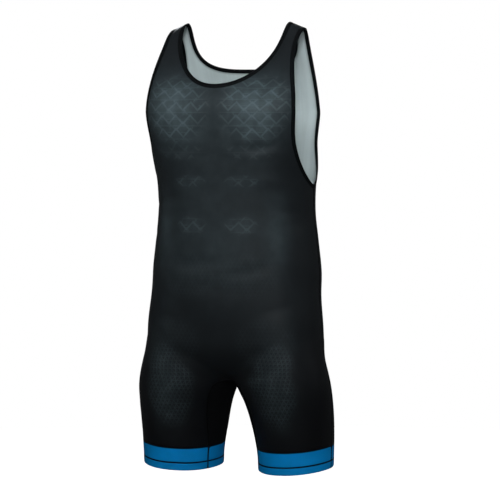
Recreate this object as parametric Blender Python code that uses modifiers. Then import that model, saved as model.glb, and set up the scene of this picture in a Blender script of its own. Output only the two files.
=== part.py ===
"""Wrestling singlet in its worn, hollow form, with open neck, armholes and legs.

Metres, +Z up. The front faces -Y and the wearer's left is +X. The origin lies midway
between the tops of the two shoulder straps, where the garment is held.
"""
import bmesh
import bpy
import numpy as np
from mathutils import Vector


def columns(names, rows):
    """A small table as one array for each named column."""
    return {name: np.array([row[place] for row in rows]) for place, name in enumerate(names)}


FRONT = -1
BACK = 1

# Cloth
WALL = 0.0015
HEM_WALL = 0.0022
SEAM_GAP = 0.0004
BINDING_WIDTH = 0.0068
BINDING_THICK = 0.0026
BINDING_EASE = 0.0012

# Section of a binding: along its width (0 at the seam, 1 at its open edge), the ease
# that rounds the corner there, and its height as a share of half the thickness.
BINDING_SECTION = columns(("width", "ease", "rise"), (
    (0, 0, -0.70),
    (0, 0, 0.70),
    (0, 1, 1.00),
    (1, -1, 1.00),
    (1, 0, 0.50),
    (1, 0, -0.50),
    (1, -1, -1.00),
    (0, 1, -1.00),
))

# Torso sections: width to each side, reach in front of and behind the shoulder line,
# the place of the widest point between them, and how square the section is.
TORSO = columns(("height", "half_width", "front", "back", "side", "square"), (
    (-0.160, 0.1710, 0.143, 0.090, -0.005, 3.3),
    (-0.170, 0.1710, 0.143, 0.090, -0.005, 3.3),
    (-0.240, 0.1615, 0.139, 0.083, -0.005, 2.8),
    (-0.310, 0.1535, 0.132, 0.078, -0.005, 2.4),
    (-0.360, 0.1530, 0.131, 0.076, -0.005, 2.3),
    (-0.420, 0.1595, 0.131, 0.080, -0.005, 2.25),
    (-0.480, 0.1655, 0.132, 0.089, -0.007, 2.25),
    (-0.540, 0.1635, 0.131, 0.094, -0.009, 2.25),
    (-0.600, 0.1660, 0.124, 0.093, -0.011, 2.25),
    (-0.720, 0.1660, 0.112, 0.086, -0.012, 2.25),
))
SEAT_TOP = -0.600
SEAT_BOTTOM = -0.690

# Leg sections, each an ellipse about its own centre.
LEG = columns(("height", "centre", "middle", "radius", "depth"), (
    (-0.600, 0.0850, -0.019, 0.0790, 0.0930),
    (-0.650, 0.0915, -0.020, 0.0885, 0.0950),
    (-0.700, 0.0990, -0.016, 0.0915, 0.0940),
    (-0.728, 0.1052, -0.010, 0.0868, 0.0900),
    (-0.786, 0.1122, 0.000, 0.0795, 0.0830),
    (-0.824, 0.1150, 0.002, 0.0757, 0.0785),
    (-0.880, 0.1155, 0.003, 0.0727, 0.0755),
))
LEG_SKEW = 0.10
LEG_CAP = -0.600
LEG_CAP_RISE = 0.130

# How softly the legs run into the torso and into each other.
GROIN_BLEND = 0.026
INNER_ROUND = 0.004
FIELD_SCALE = 0.120

# Below this height the centre of the turn moves out to the middle of the leg.
AXIS_TOP = -0.450
AXIS_SPAN = 0.230

# Yoke: from here up the walls arch over to the shoulder line.
YOKE = -0.170
ARCH = 0.105
ARCH_IN = 1.2
ARCH_NECK = 1.1
ARCH_REACH = 0.150
ARCH_UP = 1.43
SHOULDER_SLOPE = 0.404
STRAP_INNER = 0.1095
STRAP_OUTER = 0.1300
TAPER_START = 0.12
TAPER_END = 0.68
RIDGE_START = 0.1014

# Neckline and armhole, as edges of the panels that the bindings join.
NECK_FRONT_DEPTH = 0.1265
NECK_BACK_DEPTH = 0.095
NECK_FRONT_SQUARE = 2.05
NECK_BACK_SQUARE = 3.3
ARMHOLE_BOTTOM = -0.3165
ARMHOLE_TURN = {FRONT: 50.0, BACK: 43.0}
ARMHOLE_SQUARE = {FRONT: 1.4, BACK: 1.6}
ARMHOLE_DIP = {FRONT: 0.002, BACK: 0.004}

# Leg opening: a tilted plane, higher at the back and at the outer side.
HEM_HEIGHT = -0.8555
HEM_TILT_OUT = 0.05
HEM_TILT_BACK = 0.075
BAND_HEIGHT = 0.044

# Gusset seam: distance from the middle and drop below the top of the seam.
GUSSET_TOP = -0.685
GUSSET_SEAM = columns(("drop", "x"), (
    (0.0000, 0.0000),
    (0.0008, 0.0110),
    (0.0065, 0.0250),
    (0.0220, 0.0345),
    (0.0510, 0.0430),
    (0.1150, 0.0500),
    (0.1700, 0.0495),
))
GUSSET_LEG_X = 0.045
GUSSET_RAY_RISE = 0.045

# Rows of cells up each panel, and cells across.
SEAM_ROWS = 10
BODY_ROWS = 23
ARMHOLE_ROWS = 9
YOKE_ROWS = 13
PANEL_CELLS = 11
GUSSET_CELLS = 8
BAND_ROWS = 3
SIDE_AT_CROTCH = -0.655
HOLE_AT_NECK = 0.42
SHOULDER_CLOSING = 1.75
LINE_SAMPLES = 300
MIDDLE = 1e-6


def read(table, name, height):
    """Smooth value of a column at a height, held level past both ends."""
    order = np.argsort(table["height"])
    knots = table["height"][order]
    values = table[name][order]
    slopes = np.gradient(values, knots)
    height = np.clip(height, knots[0], knots[-1])
    cell = np.clip(np.searchsorted(knots, height) - 1, 0, len(knots) - 2)
    span = knots[cell + 1] - knots[cell]
    t = (height - knots[cell]) / span
    start = (1 + 2 * t) * (1 - t) ** 2 * values[cell] + t * (1 - t) ** 2 * span * slopes[cell]
    end = t * t * (3 - 2 * t) * values[cell + 1] - t * t * (1 - t) * span * slopes[cell + 1]
    return start + end


def bent(value, power):
    """Signed power, which squares off a circle."""
    return np.sign(value) * np.abs(value) ** power


def torso_field(x, y, z):
    """Below zero inside the torso, which closes in a round seat."""
    side = read(TORSO, "side", z)
    depth = np.where(y < side, read(TORSO, "front", z) + side, read(TORSO, "back", z) - side)
    square = read(TORSO, "square", z)
    across = np.abs(x) / read(TORSO, "half_width", z)
    radius = (across ** square + np.abs((y - side) / depth) ** square) ** (1 / square)
    sunk = np.clip((SEAT_TOP - z) / (SEAT_TOP - SEAT_BOTTOM), 0, None)
    return (np.hypot(radius, sunk) - 1) * FIELD_SCALE


def leg_field(x, y, z):
    """Below zero inside either leg, which fades out at the hip."""
    forward = y - read(LEG, "middle", z)
    sideways = np.hypot(x, INNER_ROUND) - read(LEG, "centre", z) + LEG_SKEW * forward
    across = sideways / read(LEG, "radius", z)
    along = forward / read(LEG, "depth", z)
    risen = np.clip((z - LEG_CAP) / LEG_CAP_RISE, 0, None)
    return (np.sqrt(across ** 2 + along ** 2 + risen ** 2) - 1) * read(LEG, "radius", z)


def figure_field(points):
    """Torso and legs, run together softly at the groin."""
    x, y, z = np.moveaxis(points, -1, 0)
    torso = torso_field(x, y, z)
    leg = leg_field(x, y, z)
    shared = np.clip(GROIN_BLEND - np.abs(torso - leg), 0, None)
    return np.minimum(torso, leg) - shared ** 2 / (4 * GROIN_BLEND)


def cast(origin, direction, reach=0.30, steps=150, halvings=30):
    """Where each ray first leaves the figure."""
    origin, direction = np.broadcast_arrays(origin, direction)
    direction = direction / np.linalg.norm(direction, axis=-1, keepdims=True)
    marks = np.linspace(0, reach, steps)
    samples = origin[..., None, :] + marks[:, None] * direction[..., None, :]
    first = np.argmax(figure_field(samples) > 0, axis=-1)
    far = marks[first]
    near = marks[np.maximum(first - 1, 0)]
    for _ in range(halvings):
        middle = (near + far) / 2
        outside = figure_field(origin + middle[..., None] * direction) > 0
        far = np.where(outside, middle, far)
        near = np.where(outside, near, middle)
    return origin + ((near + far) / 2)[..., None] * direction


def axis(height):
    """Centre of the turn at a height, and the half sizes that scale it."""
    lean = np.clip((AXIS_TOP - height) / AXIS_SPAN, 0, 1)
    lean = lean * lean * (3 - 2 * lean)
    centre = lean * read(LEG, "centre", height)
    width = read(TORSO, "half_width", height) * (1 - lean) + read(LEG, "radius", height) * lean
    return centre, width, lean


def depth_at(height, face, lean):
    """Half depth of the front or back at a height."""
    side = read(TORSO, "side", height)
    torso = read(TORSO, "front", height) + side if face == FRONT else read(TORSO, "back", height) - side
    return torso * (1 - lean) + read(LEG, "depth", height) * lean


def ridge(x):
    """Height of the shoulder line."""
    return -SHOULDER_SLOPE * (np.abs(x) - RIDGE_START)


def skin(turn, climb, face):
    """Point of the figure at a turn from the middle towards the side, and a climb.

    Below the yoke the climb is the height. Above it the climb goes on over the arch.
    """
    turn, climb = np.broadcast_arrays(np.radians(turn), climb)
    low = np.minimum(climb, YOKE)
    power = 2 / read(TORSO, "square", low)
    sine = bent(np.sin(turn), power)
    cosine = bent(np.cos(turn), power)
    centre, width, lean = axis(low)
    side = read(TORSO, "side", low)
    depth = depth_at(low, face, lean)
    origin = np.stack([centre, side, low], axis=-1)
    heading = np.stack([width * sine, face * depth * cosine, np.zeros_like(low)], axis=-1)
    below = cast(origin, heading)
    arch = np.clip((climb - YOKE) / ARCH, 0, None)
    x = read(TORSO, "half_width", YOKE) * sine
    z = YOKE + (ridge(x) - YOKE) * bent(np.sin(arch), ARCH_UP)
    share = np.clip(np.abs(x) / ARCH_REACH, 0, 1)
    flow = ARCH_IN + ARCH_NECK * np.sin(np.pi * share) ** 2 * (1 - np.sin(arch) ** 6)
    y = (read(TORSO, "side", YOKE) + face * depth * cosine) * bent(np.cos(arch), flow)
    above = np.stack([x, y, z], axis=-1)
    return np.where((climb > YOKE)[..., None], above, below)


def face_mark(x, z, face):
    """Turn and climb of the point on one face at a given x and height."""
    x, z = np.broadcast_arrays(np.asarray(x, float), np.asarray(z, float))
    low = np.minimum(z, YOKE)
    side = read(TORSO, "side", low)
    point = cast(np.stack([x, side, low], axis=-1), np.array([0.0, face, 0.0]))
    centre, width, lean = axis(low)
    power = read(TORSO, "square", low) / 2
    sine = bent((point[..., 0] - centre) / width, power)
    cosine = bent(np.abs(point[..., 1] - side) / depth_at(low, face, lean), power)
    turn = np.degrees(np.arctan2(sine, cosine))
    share = np.clip((z - YOKE) / (ridge(x) - YOKE), 0, 1)
    high = np.degrees(np.arcsin(bent(np.abs(x) / read(TORSO, "half_width", YOKE), power)))
    climb = YOKE + ARCH * np.arcsin(share ** (1 / ARCH_UP))
    raised = z > YOKE
    return np.where(raised, high, turn), np.where(raised, climb, z)


def even_steps(path, count):
    """Resample a polyline at equal distances."""
    path = np.asarray(path)
    lengths = np.concatenate([[0], np.cumsum(np.linalg.norm(np.diff(path, axis=0), axis=1))])
    marks = np.linspace(0, lengths[-1], count + 1)
    return np.stack([np.interp(marks, lengths, path[:, place]) for place in range(path.shape[1])], axis=1)


def along_skin(turn, climb, face, shares):
    """Turn and climb at shares of the length of a line drawn on the figure."""
    path = skin(turn, climb, face)
    lengths = np.concatenate([[0], np.cumsum(np.linalg.norm(np.diff(path, axis=0), axis=1))])
    marks = shares * lengths[-1]
    return np.interp(marks, lengths, turn), np.interp(marks, lengths, climb)


def closing_steps(count):
    """Shares from 0 to 1 whose steps shorten towards the end."""
    return 1 - (1 - np.linspace(0, 1, count + 1)) ** SHOULDER_CLOSING


def hem_plane(x, y, raised):
    """Height of the leg opening's plane, raised by a distance."""
    centre = read(LEG, "centre", HEM_HEIGHT)
    middle = read(LEG, "middle", HEM_HEIGHT)
    return HEM_HEIGHT + raised + HEM_TILT_OUT * (np.abs(x) - centre) + HEM_TILT_BACK * (y - middle)


def gusset_edge(face):
    """Seam from the top of the leg band up to the middle, as points."""
    drops = GUSSET_SEAM["drop"]
    lengths = np.concatenate([[0], np.cumsum(np.hypot(np.diff(drops), np.diff(GUSSET_SEAM["x"])))])
    knots = {"height": lengths, "drop": drops, "x": GUSSET_SEAM["x"]}
    marks = np.linspace(0, lengths[-1], LINE_SAMPLES)
    x = np.clip(read(knots, "x", marks), 0, None)
    z = GUSSET_TOP - read(knots, "drop", marks)
    side = read(TORSO, "side", z)
    points = cast(np.stack([x, side, z], axis=-1), np.array([0.0, face, 0.0]))
    excess = z - hem_plane(points[:, 0], points[:, 1], BAND_HEIGHT)
    last = np.count_nonzero(excess > 0)
    share = excess[last - 1] / (excess[last - 1] - excess[last])
    end = points[last - 1] + share * (points[last] - points[last - 1])
    path = np.concatenate([points[:last], end[None]])[::-1]
    return even_steps(path, SEAM_ROWS)


def inner_marks(face):
    """Turn and climb along the edge nearest the middle, from the leg band to the shoulder."""
    seam = gusset_edge(face)
    seam_turn, seam_climb = face_mark(seam[:, 0], seam[:, 2], face)
    depth = NECK_FRONT_DEPTH if face == FRONT else NECK_BACK_DEPTH
    square = NECK_FRONT_SQUARE if face == FRONT else NECK_BACK_SQUARE
    heights = np.linspace(GUSSET_TOP, -depth, LINE_SAMPLES)
    body = face_mark(0.0, heights, face)
    body = along_skin(*body, face, np.linspace(0, 1, BODY_ROWS + 1))
    swing = np.linspace(0, np.pi / 2, LINE_SAMPLES)
    neck = np.stack([STRAP_INNER * np.sin(swing) ** (2 / square),
                     -depth * np.cos(swing) ** (2 / square)], axis=1)
    neck[:, 1] += ridge(STRAP_INNER) * (neck[:, 1] + depth) / depth
    yoke = face_mark(neck[:, 0], neck[:, 1], face)
    yoke = along_skin(*yoke, face, closing_steps(YOKE_ROWS))
    return (np.concatenate([seam_turn, body[0][1:], yoke[0][1:]]),
            np.concatenate([seam_climb, body[1][1:], yoke[1][1:]]))


def outer_marks(face):
    """Turn and climb along the side seam and the armhole, from the leg band to the shoulder."""
    outer_x = read(LEG, "centre", HEM_HEIGHT) + read(LEG, "radius", HEM_HEIGHT)
    band_top = hem_plane(outer_x, read(LEG, "middle", HEM_HEIGHT), BAND_HEIGHT)
    low = np.linspace(band_top, SIDE_AT_CROTCH, SEAM_ROWS + 1)
    swing = np.linspace(0, np.pi / 2, LINE_SAMPLES)
    turn = 90 - (90 - ARMHOLE_TURN[face]) * np.sin(swing) ** ARMHOLE_SQUARE[face]
    climb = ARMHOLE_BOTTOM + (YOKE - ARMHOLE_BOTTOM) * (1 - np.cos(swing))
    share = np.linspace(0, 1, LINE_SAMPLES)[1:]
    width = read(TORSO, "half_width", YOKE)
    power = 2 / read(TORSO, "square", YOKE)
    start = width * np.sin(np.radians(ARMHOLE_TURN[face])) ** power
    taper = np.clip((share - TAPER_START) / (TAPER_END - TAPER_START), 0, 1)
    x = start + (STRAP_OUTER - start) * taper * taper * (3 - 2 * taper)
    x -= ARMHOLE_DIP[face] * 4 * share * (1 - share)
    turn = np.concatenate([turn, np.degrees(np.arcsin((x / width) ** (1 / power)))])
    climb = np.concatenate([climb, YOKE + ARCH * share * np.pi / 2])
    shares = np.concatenate([np.linspace(0, HOLE_AT_NECK, ARMHOLE_ROWS + 1)[1:-1],
                             HOLE_AT_NECK + (1 - HOLE_AT_NECK) * closing_steps(YOKE_ROWS)])
    hole = along_skin(turn, climb, face, shares)
    side_rows = BODY_ROWS - ARMHOLE_ROWS
    sides = np.linspace(SIDE_AT_CROTCH, ARMHOLE_BOTTOM, side_rows + 1)[1:]
    return (np.concatenate([np.full(SEAM_ROWS + 1 + side_rows, 90.0), hole[0]]),
            np.concatenate([low, sides, hole[1]]))


def panel_grid(face):
    """Half a front or back: one row of points for each level, from the middle to the side."""
    inner_turn, inner_climb = inner_marks(face)
    outer_turn, outer_climb = outer_marks(face)
    share = np.linspace(0, 1, PANEL_CELLS + 1)
    turn = inner_turn[:, None] * (1 - share) + outer_turn[:, None] * share
    climb = inner_climb[:, None] * (1 - share) + outer_climb[:, None] * share
    swing = np.radians(turn[0])
    x = read(LEG, "centre", HEM_HEIGHT) + read(LEG, "radius", HEM_HEIGHT) * np.sin(swing)
    y = read(LEG, "middle", HEM_HEIGHT) + face * read(LEG, "depth", HEM_HEIGHT) * np.cos(swing)
    dip = hem_plane(x, y, BAND_HEIGHT) - climb[0]
    dip -= dip[0] * (1 - share) + dip[-1] * share
    fade = np.clip(1 - np.arange(len(turn)) / SEAM_ROWS, 0, 1)
    climb = climb + fade[:, None] * dip
    grid = skin(turn, climb, face)
    grid[SEAM_ROWS:SEAM_ROWS + BODY_ROWS + 1, 0, 0] = 0
    return grid


def gusset_grid(front_edge, back_edge):
    """Half the gusset: a row from the front seam to the back seam for each level."""
    share = np.linspace(0, 1, GUSSET_CELLS + 1)[:, None]
    rows = []
    for front, back in zip(front_edge, back_edge):
        height = (front[2] + back[2]) / 2
        near = np.clip(front[0] / GUSSET_LEG_X, 0, 1)
        centre = np.array([read(LEG, "centre", height) * near, read(LEG, "middle", height),
                           height + GUSSET_RAY_RISE * (1 - near)])
        start = (front - centre) / np.linalg.norm(front - centre)
        end = (back - centre) / np.linalg.norm(back - centre)
        angle = np.arccos(start @ end)
        rows.append(cast(centre, np.sin((1 - share) * angle) * start + np.sin(share * angle) * end))
    grid = np.array(rows)
    grid[:, 0] = front_edge
    grid[:, -1] = back_edge
    grid[-1, :, 0] = 0
    return grid


def band_grid(ring):
    """One leg band: the ring along its top, carried down to the leg opening."""
    rows = []
    angle = np.arctan2(ring[:, 1] - read(LEG, "middle", ring[:, 2]),
                       ring[:, 0] - read(LEG, "centre", ring[:, 2]))
    heading = np.stack([np.cos(angle), np.sin(angle), np.zeros(len(ring))], axis=1)
    for row in range(BAND_ROWS + 1):
        height = ring[:, 2] - SEAM_GAP / 2 - (BAND_HEIGHT - SEAM_GAP) * row / BAND_ROWS
        centre = np.stack([read(LEG, "centre", height), read(LEG, "middle", height), height], axis=1)
        rows.append(cast(centre, heading))
    return np.array(rows)


def draw_back(built, distance):
    """Draw the open edges of half a panel back from its seams, but not those on the middle."""
    shifts = {}
    for vertex in built.verts:
        ways = []
        for edge in vertex.link_edges:
            if edge.is_boundary and any(abs(end.co.x) > MIDDLE for end in edge.verts):
                face = edge.link_faces[0]
                run = (edge.verts[1].co - edge.verts[0].co).normalized()
                way = face.normal.cross(run)
                if way.dot(face.calc_center_median() - edge.verts[0].co) < 0:
                    way.negate()
                ways.append(way)
        if len(ways) == 1:
            ways.append(Vector((-ways[0].x, ways[0].y, ways[0].z)))
        if ways:
            shifts[vertex] = (ways[0] + ways[1]) / (1 + ways[0].dot(ways[1])) * distance
    for vertex, shift in shifts.items():
        vertex.co += shift


def binding_grid(edge, normals):
    """Rings of a binding along a closed edge, into its opening: eight corners round each section."""
    reach = SEAM_GAP / 2 + BINDING_SECTION["width"] * BINDING_WIDTH + BINDING_SECTION["ease"] * BINDING_EASE
    height = BINDING_SECTION["rise"] * BINDING_THICK / 2
    along = np.roll(edge, -1, axis=0) - np.roll(edge, 1, axis=0)
    outward = np.cross(along, normals)
    outward /= np.linalg.norm(outward, axis=1, keepdims=True)
    outward *= np.sign(np.sum(outward * (edge.mean(axis=0) - edge), axis=1, keepdims=True))
    level = np.cross(outward, along)
    level /= np.linalg.norm(level, axis=1, keepdims=True)
    level *= np.sign(np.sum(level * normals, axis=1, keepdims=True))
    return edge[:, None] + reach[:, None] * outward[:, None] + height[:, None] * level[:, None]


def skin_normals(turn, climb, face):
    """Directions straight out of the cloth."""
    nudge = 0.5
    rise = 0.002
    across = skin(turn + nudge, climb, face) - skin(turn - nudge, climb, face)
    up = skin(turn, climb + rise, face) - skin(turn, climb - rise, face)
    normal = np.cross(across, up) * -face
    return normal / np.linalg.norm(normal, axis=-1, keepdims=True)


def mirrored(points):
    """The same points on the wearer's other side."""
    return points * np.array([-1.0, 1.0, 1.0])


def rim(grids, marks, first, place):
    """Front and back edges from one row to the shoulder, each with its normals."""
    edges = []
    for face in (FRONT, BACK):
        turn, climb = marks[face]
        edges.append((grids[face][first:, place], skin_normals(turn[first:], climb[first:], face)))
    return zip(*edges)


def neck_ring(grids, marks):
    """The neckline all round: its points and its normals."""
    ring = []
    for front, back in rim(grids, marks, SEAM_ROWS + BODY_ROWS, 0):
        half = np.concatenate([front, back[::-1][1:]])
        ring.append(np.concatenate([half, mirrored(half[::-1][1:-1])]))
    return ring


def armhole_ring(grids, marks):
    """The wearer's left armhole all round: its points and its normals."""
    first = SEAM_ROWS + BODY_ROWS - ARMHOLE_ROWS
    return [np.concatenate([front, back[::-1][1:-1]]) for front, back in rim(grids, marks, first, -1)]


def fabric(name, colour, roughness):
    """One Principled material."""
    material = bpy.data.materials.new(name)
    material.use_nodes = True
    shader = material.node_tree.nodes["Principled BSDF"]
    shader.inputs["Base Color"].default_value = (*colour, 1)
    shader.inputs["Roughness"].default_value = roughness
    shader.inputs["Metallic"].default_value = 0
    material.diffuse_color = (*colour, 1)
    return material


def loft(name, grid, material, collection, round_rows=False, round_columns=False, gap=0):
    """A mesh through a grid of points, closed along its rows or columns where asked."""
    mesh = bpy.data.meshes.new(name)
    rows, count = grid.shape[:2]
    built = bmesh.new()
    corners = [[built.verts.new(point) for point in row] for row in grid]
    for row in range(rows if round_columns else rows - 1):
        for place in range(count if round_rows else count - 1):
            upper = (row + 1) % rows
            after = (place + 1) % count
            built.faces.new((corners[row][place], corners[row][after],
                             corners[upper][after], corners[upper][place]))
    bmesh.ops.recalc_face_normals(built, faces=built.faces)
    draw_back(built, gap)
    built.to_mesh(mesh)
    built.free()
    mesh.shade_smooth()
    mesh.materials.append(material)
    shape = bpy.data.objects.new(name, mesh)
    collection.objects.link(shape)
    return shape


def reflect(shape):
    """Complete a half piece across the middle, joined where it meets the plane."""
    other = shape.modifiers.new("Other half", "MIRROR")
    other.use_axis = (True, False, False)
    other.merge_threshold = 0.00005


def thicken(shape, wall):
    """Give a surface the cloth's thickness, equally to both sides."""
    solid = shape.modifiers.new("Cloth wall", "SOLIDIFY")
    solid.thickness = wall
    solid.offset = 0
    solid.use_even_offset = True


def clear_scene():
    """Remove what the file opened with."""
    for thing in list(bpy.data.objects):
        bpy.data.objects.remove(thing, do_unlink=True)


def build():
    """Model every piece of the singlet."""
    clear_scene()
    collection = bpy.data.collections.new("wrestling_singlet")
    bpy.context.scene.collection.children.link(collection)
    body_cloth = fabric("body_cloth", (0.012, 0.014, 0.016), 0.55)
    plain_cloth = fabric("gusset_cloth", (0.004, 0.004, 0.005), 0.75)
    band_cloth = fabric("band_cloth", (0.004, 0.145, 0.425), 0.55)
    binding_tape = fabric("binding_tape", (0.004, 0.005, 0.006), 0.65)

    grids = {face: panel_grid(face) for face in (FRONT, BACK)}
    inner = {face: inner_marks(face) for face in (FRONT, BACK)}
    outer = {face: outer_marks(face) for face in (FRONT, BACK)}
    seam = slice(0, SEAM_ROWS + 1)
    gusset = gusset_grid(grids[FRONT][seam, 0], grids[BACK][seam, 0])
    leg_ring = np.concatenate([grids[FRONT][0], grids[BACK][0][::-1][1:], gusset[0][::-1][1:-1]])
    band = band_grid(leg_ring)

    for name, face in (("front_panel", FRONT), ("back_panel", BACK)):
        shape = loft(name, grids[face], body_cloth, collection, gap=SEAM_GAP / 2)
        reflect(shape)
        thicken(shape, WALL)
    shape = loft("crotch_gusset", gusset, plain_cloth, collection, gap=SEAM_GAP / 2)
    reflect(shape)
    thicken(shape, WALL)
    for name, points in (("leg_band_left", band), ("leg_band_right", mirrored(band))):
        shape = loft(name, points, band_cloth, collection, round_rows=True)
        thicken(shape, HEM_WALL)
    tape = binding_grid(*neck_ring(grids, inner))
    loft("neck_binding", tape, binding_tape, collection, True, True)
    tape = binding_grid(*armhole_ring(grids, outer))
    loft("armhole_binding_left", tape, binding_tape, collection, True, True)
    loft("armhole_binding_right", mirrored(tape), binding_tape, collection, True, True)


build()
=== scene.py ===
"""Wrestling singlet in its worn, hollow form: printed stretch cloth, bindings and stitching.

Metres, +Z up. The front faces -Y and the wearer's left is +X.
"""
import math
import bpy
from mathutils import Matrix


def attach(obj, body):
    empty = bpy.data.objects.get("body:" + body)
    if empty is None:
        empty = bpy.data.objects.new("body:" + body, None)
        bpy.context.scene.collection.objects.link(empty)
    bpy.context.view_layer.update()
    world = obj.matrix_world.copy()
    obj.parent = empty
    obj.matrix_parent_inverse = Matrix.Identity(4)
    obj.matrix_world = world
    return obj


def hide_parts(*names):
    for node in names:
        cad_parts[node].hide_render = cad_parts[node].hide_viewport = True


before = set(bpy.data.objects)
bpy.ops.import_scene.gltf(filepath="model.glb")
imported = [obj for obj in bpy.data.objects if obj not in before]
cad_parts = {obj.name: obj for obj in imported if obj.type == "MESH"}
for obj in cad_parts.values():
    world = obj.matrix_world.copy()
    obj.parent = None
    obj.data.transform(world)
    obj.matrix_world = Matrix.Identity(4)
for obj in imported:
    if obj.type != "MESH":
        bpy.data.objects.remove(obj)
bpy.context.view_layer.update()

from types import SimpleNamespace

import bpy
import numpy as np
from bpy.props import FloatProperty, FloatVectorProperty, IntProperty, PointerProperty
from mathutils import Vector

bl_info = {
    "name": "Wrestling singlet",
    "version": (1, 0, 0),
    "blender": (4, 5, 0),
    "location": "View3D > Sidebar > Singlet",
    "description": "Builds the cloth, trim, stitching and studio of a wrestling singlet",
    "category": "Object",
}

BODY = "root"
FRONT = -1
BACK = 1


def columns(names, rows):
    """A small table as one array for each named column."""
    return {name: np.array([row[place] for row in rows]) for place, name in enumerate(names)}


# The garment's form, with the sizes of its solids.
TORSO = columns(("height", "half_width", "front", "back", "side", "square"), (
    (-0.160, 0.1710, 0.143, 0.090, -0.005, 3.3),
    (-0.170, 0.1710, 0.143, 0.090, -0.005, 3.3),
    (-0.240, 0.1615, 0.139, 0.083, -0.005, 2.8),
    (-0.310, 0.1535, 0.132, 0.078, -0.005, 2.4),
    (-0.360, 0.1530, 0.131, 0.076, -0.005, 2.3),
    (-0.420, 0.1595, 0.131, 0.080, -0.005, 2.25),
    (-0.480, 0.1655, 0.132, 0.089, -0.007, 2.25),
    (-0.540, 0.1635, 0.131, 0.094, -0.009, 2.25),
    (-0.600, 0.1660, 0.124, 0.093, -0.011, 2.25),
    (-0.720, 0.1660, 0.112, 0.086, -0.012, 2.25),
))
SEAT_TOP = -0.600
SEAT_BOTTOM = -0.690
LEG = columns(("height", "centre", "middle", "radius", "depth"), (
    (-0.600, 0.0850, -0.019, 0.0790, 0.0930),
    (-0.650, 0.0915, -0.020, 0.0885, 0.0950),
    (-0.700, 0.0990, -0.016, 0.0915, 0.0940),
    (-0.728, 0.1052, -0.010, 0.0868, 0.0900),
    (-0.786, 0.1122, 0.000, 0.0795, 0.0830),
    (-0.824, 0.1150, 0.002, 0.0757, 0.0785),
    (-0.880, 0.1155, 0.003, 0.0727, 0.0755),
))
LEG_SKEW = 0.10
LEG_CAP = -0.600
LEG_CAP_RISE = 0.130
GROIN_BLEND = 0.026
INNER_ROUND = 0.004
FIELD_SCALE = 0.120
AXIS_TOP = -0.450
AXIS_SPAN = 0.230
YOKE = -0.170
ARCH = 0.105
ARCH_IN = 1.2
ARCH_NECK = 1.1
ARCH_REACH = 0.150
ARCH_UP = 1.43
SHOULDER_SLOPE = 0.404
STRAP_INNER = 0.1095
STRAP_OUTER = 0.1300
TAPER_START = 0.12
TAPER_END = 0.68
RIDGE_START = 0.1014
NECK_FRONT_DEPTH = 0.1265
NECK_BACK_DEPTH = 0.095
NECK_FRONT_SQUARE = 2.05
NECK_BACK_SQUARE = 3.3
ARMHOLE_BOTTOM = -0.3165
ARMHOLE_TURN = {FRONT: 50.0, BACK: 43.0}
ARMHOLE_SQUARE = {FRONT: 1.4, BACK: 1.6}
ARMHOLE_DIP = {FRONT: 0.002, BACK: 0.004}
HEM_HEIGHT = -0.8555
HEM_TILT_OUT = 0.05
HEM_TILT_BACK = 0.075
BAND_HEIGHT = 0.044
GUSSET_TOP = -0.685
GUSSET_SEAM = columns(("drop", "x"), (
    (0.0000, 0.0000),
    (0.0008, 0.0110),
    (0.0065, 0.0250),
    (0.0220, 0.0345),
    (0.0510, 0.0430),
    (0.1150, 0.0500),
    (0.1700, 0.0495),
))
GUSSET_LEG_X = 0.045
GUSSET_RAY_RISE = 0.045
GUSSET_LEG_TOP = -0.74
GUSSET_LEG_MIDDLE = -0.76

# Rows of cells up each panel, and cells across.
SEAM_ROWS = 30
BODY_ROWS = 69
ARMHOLE_ROWS = 27
YOKE_ROWS = 39
PANEL_CELLS = 33
GUSSET_CELLS = 24
SIDE_AT_CROTCH = -0.655
HOLE_AT_NECK = 0.42
SHOULDER_CLOSING = 1.35
LINE_SAMPLES = 300

# Leg band: drops below its top, and what the turned-up hem adds inside.
HEM_TURN = 0.015
BAND_DROPS = (0, 0.0012, 0.006, 0.012, 0.018, 0.024, 0.0268, 0.0282, 0.0290, 0.0298,
              0.0312, 0.034, 0.038, 0.0415, 0.0432, 0.0440)
HEM_EXTRA = 0.0008
HEM_SINK = 0.0005
HEM_SWELL = 0.0003
HEM_EDGE = 0.0008
HEM_SINK_REACH = 0.0012
ROLL_START = 0.0016
ROLL_SPAN = 0.0017
ROLL_LEAST = 0.02

# Edges that turn by more than this many degrees stay sharp.
SHARP_ANGLE = 60

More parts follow.
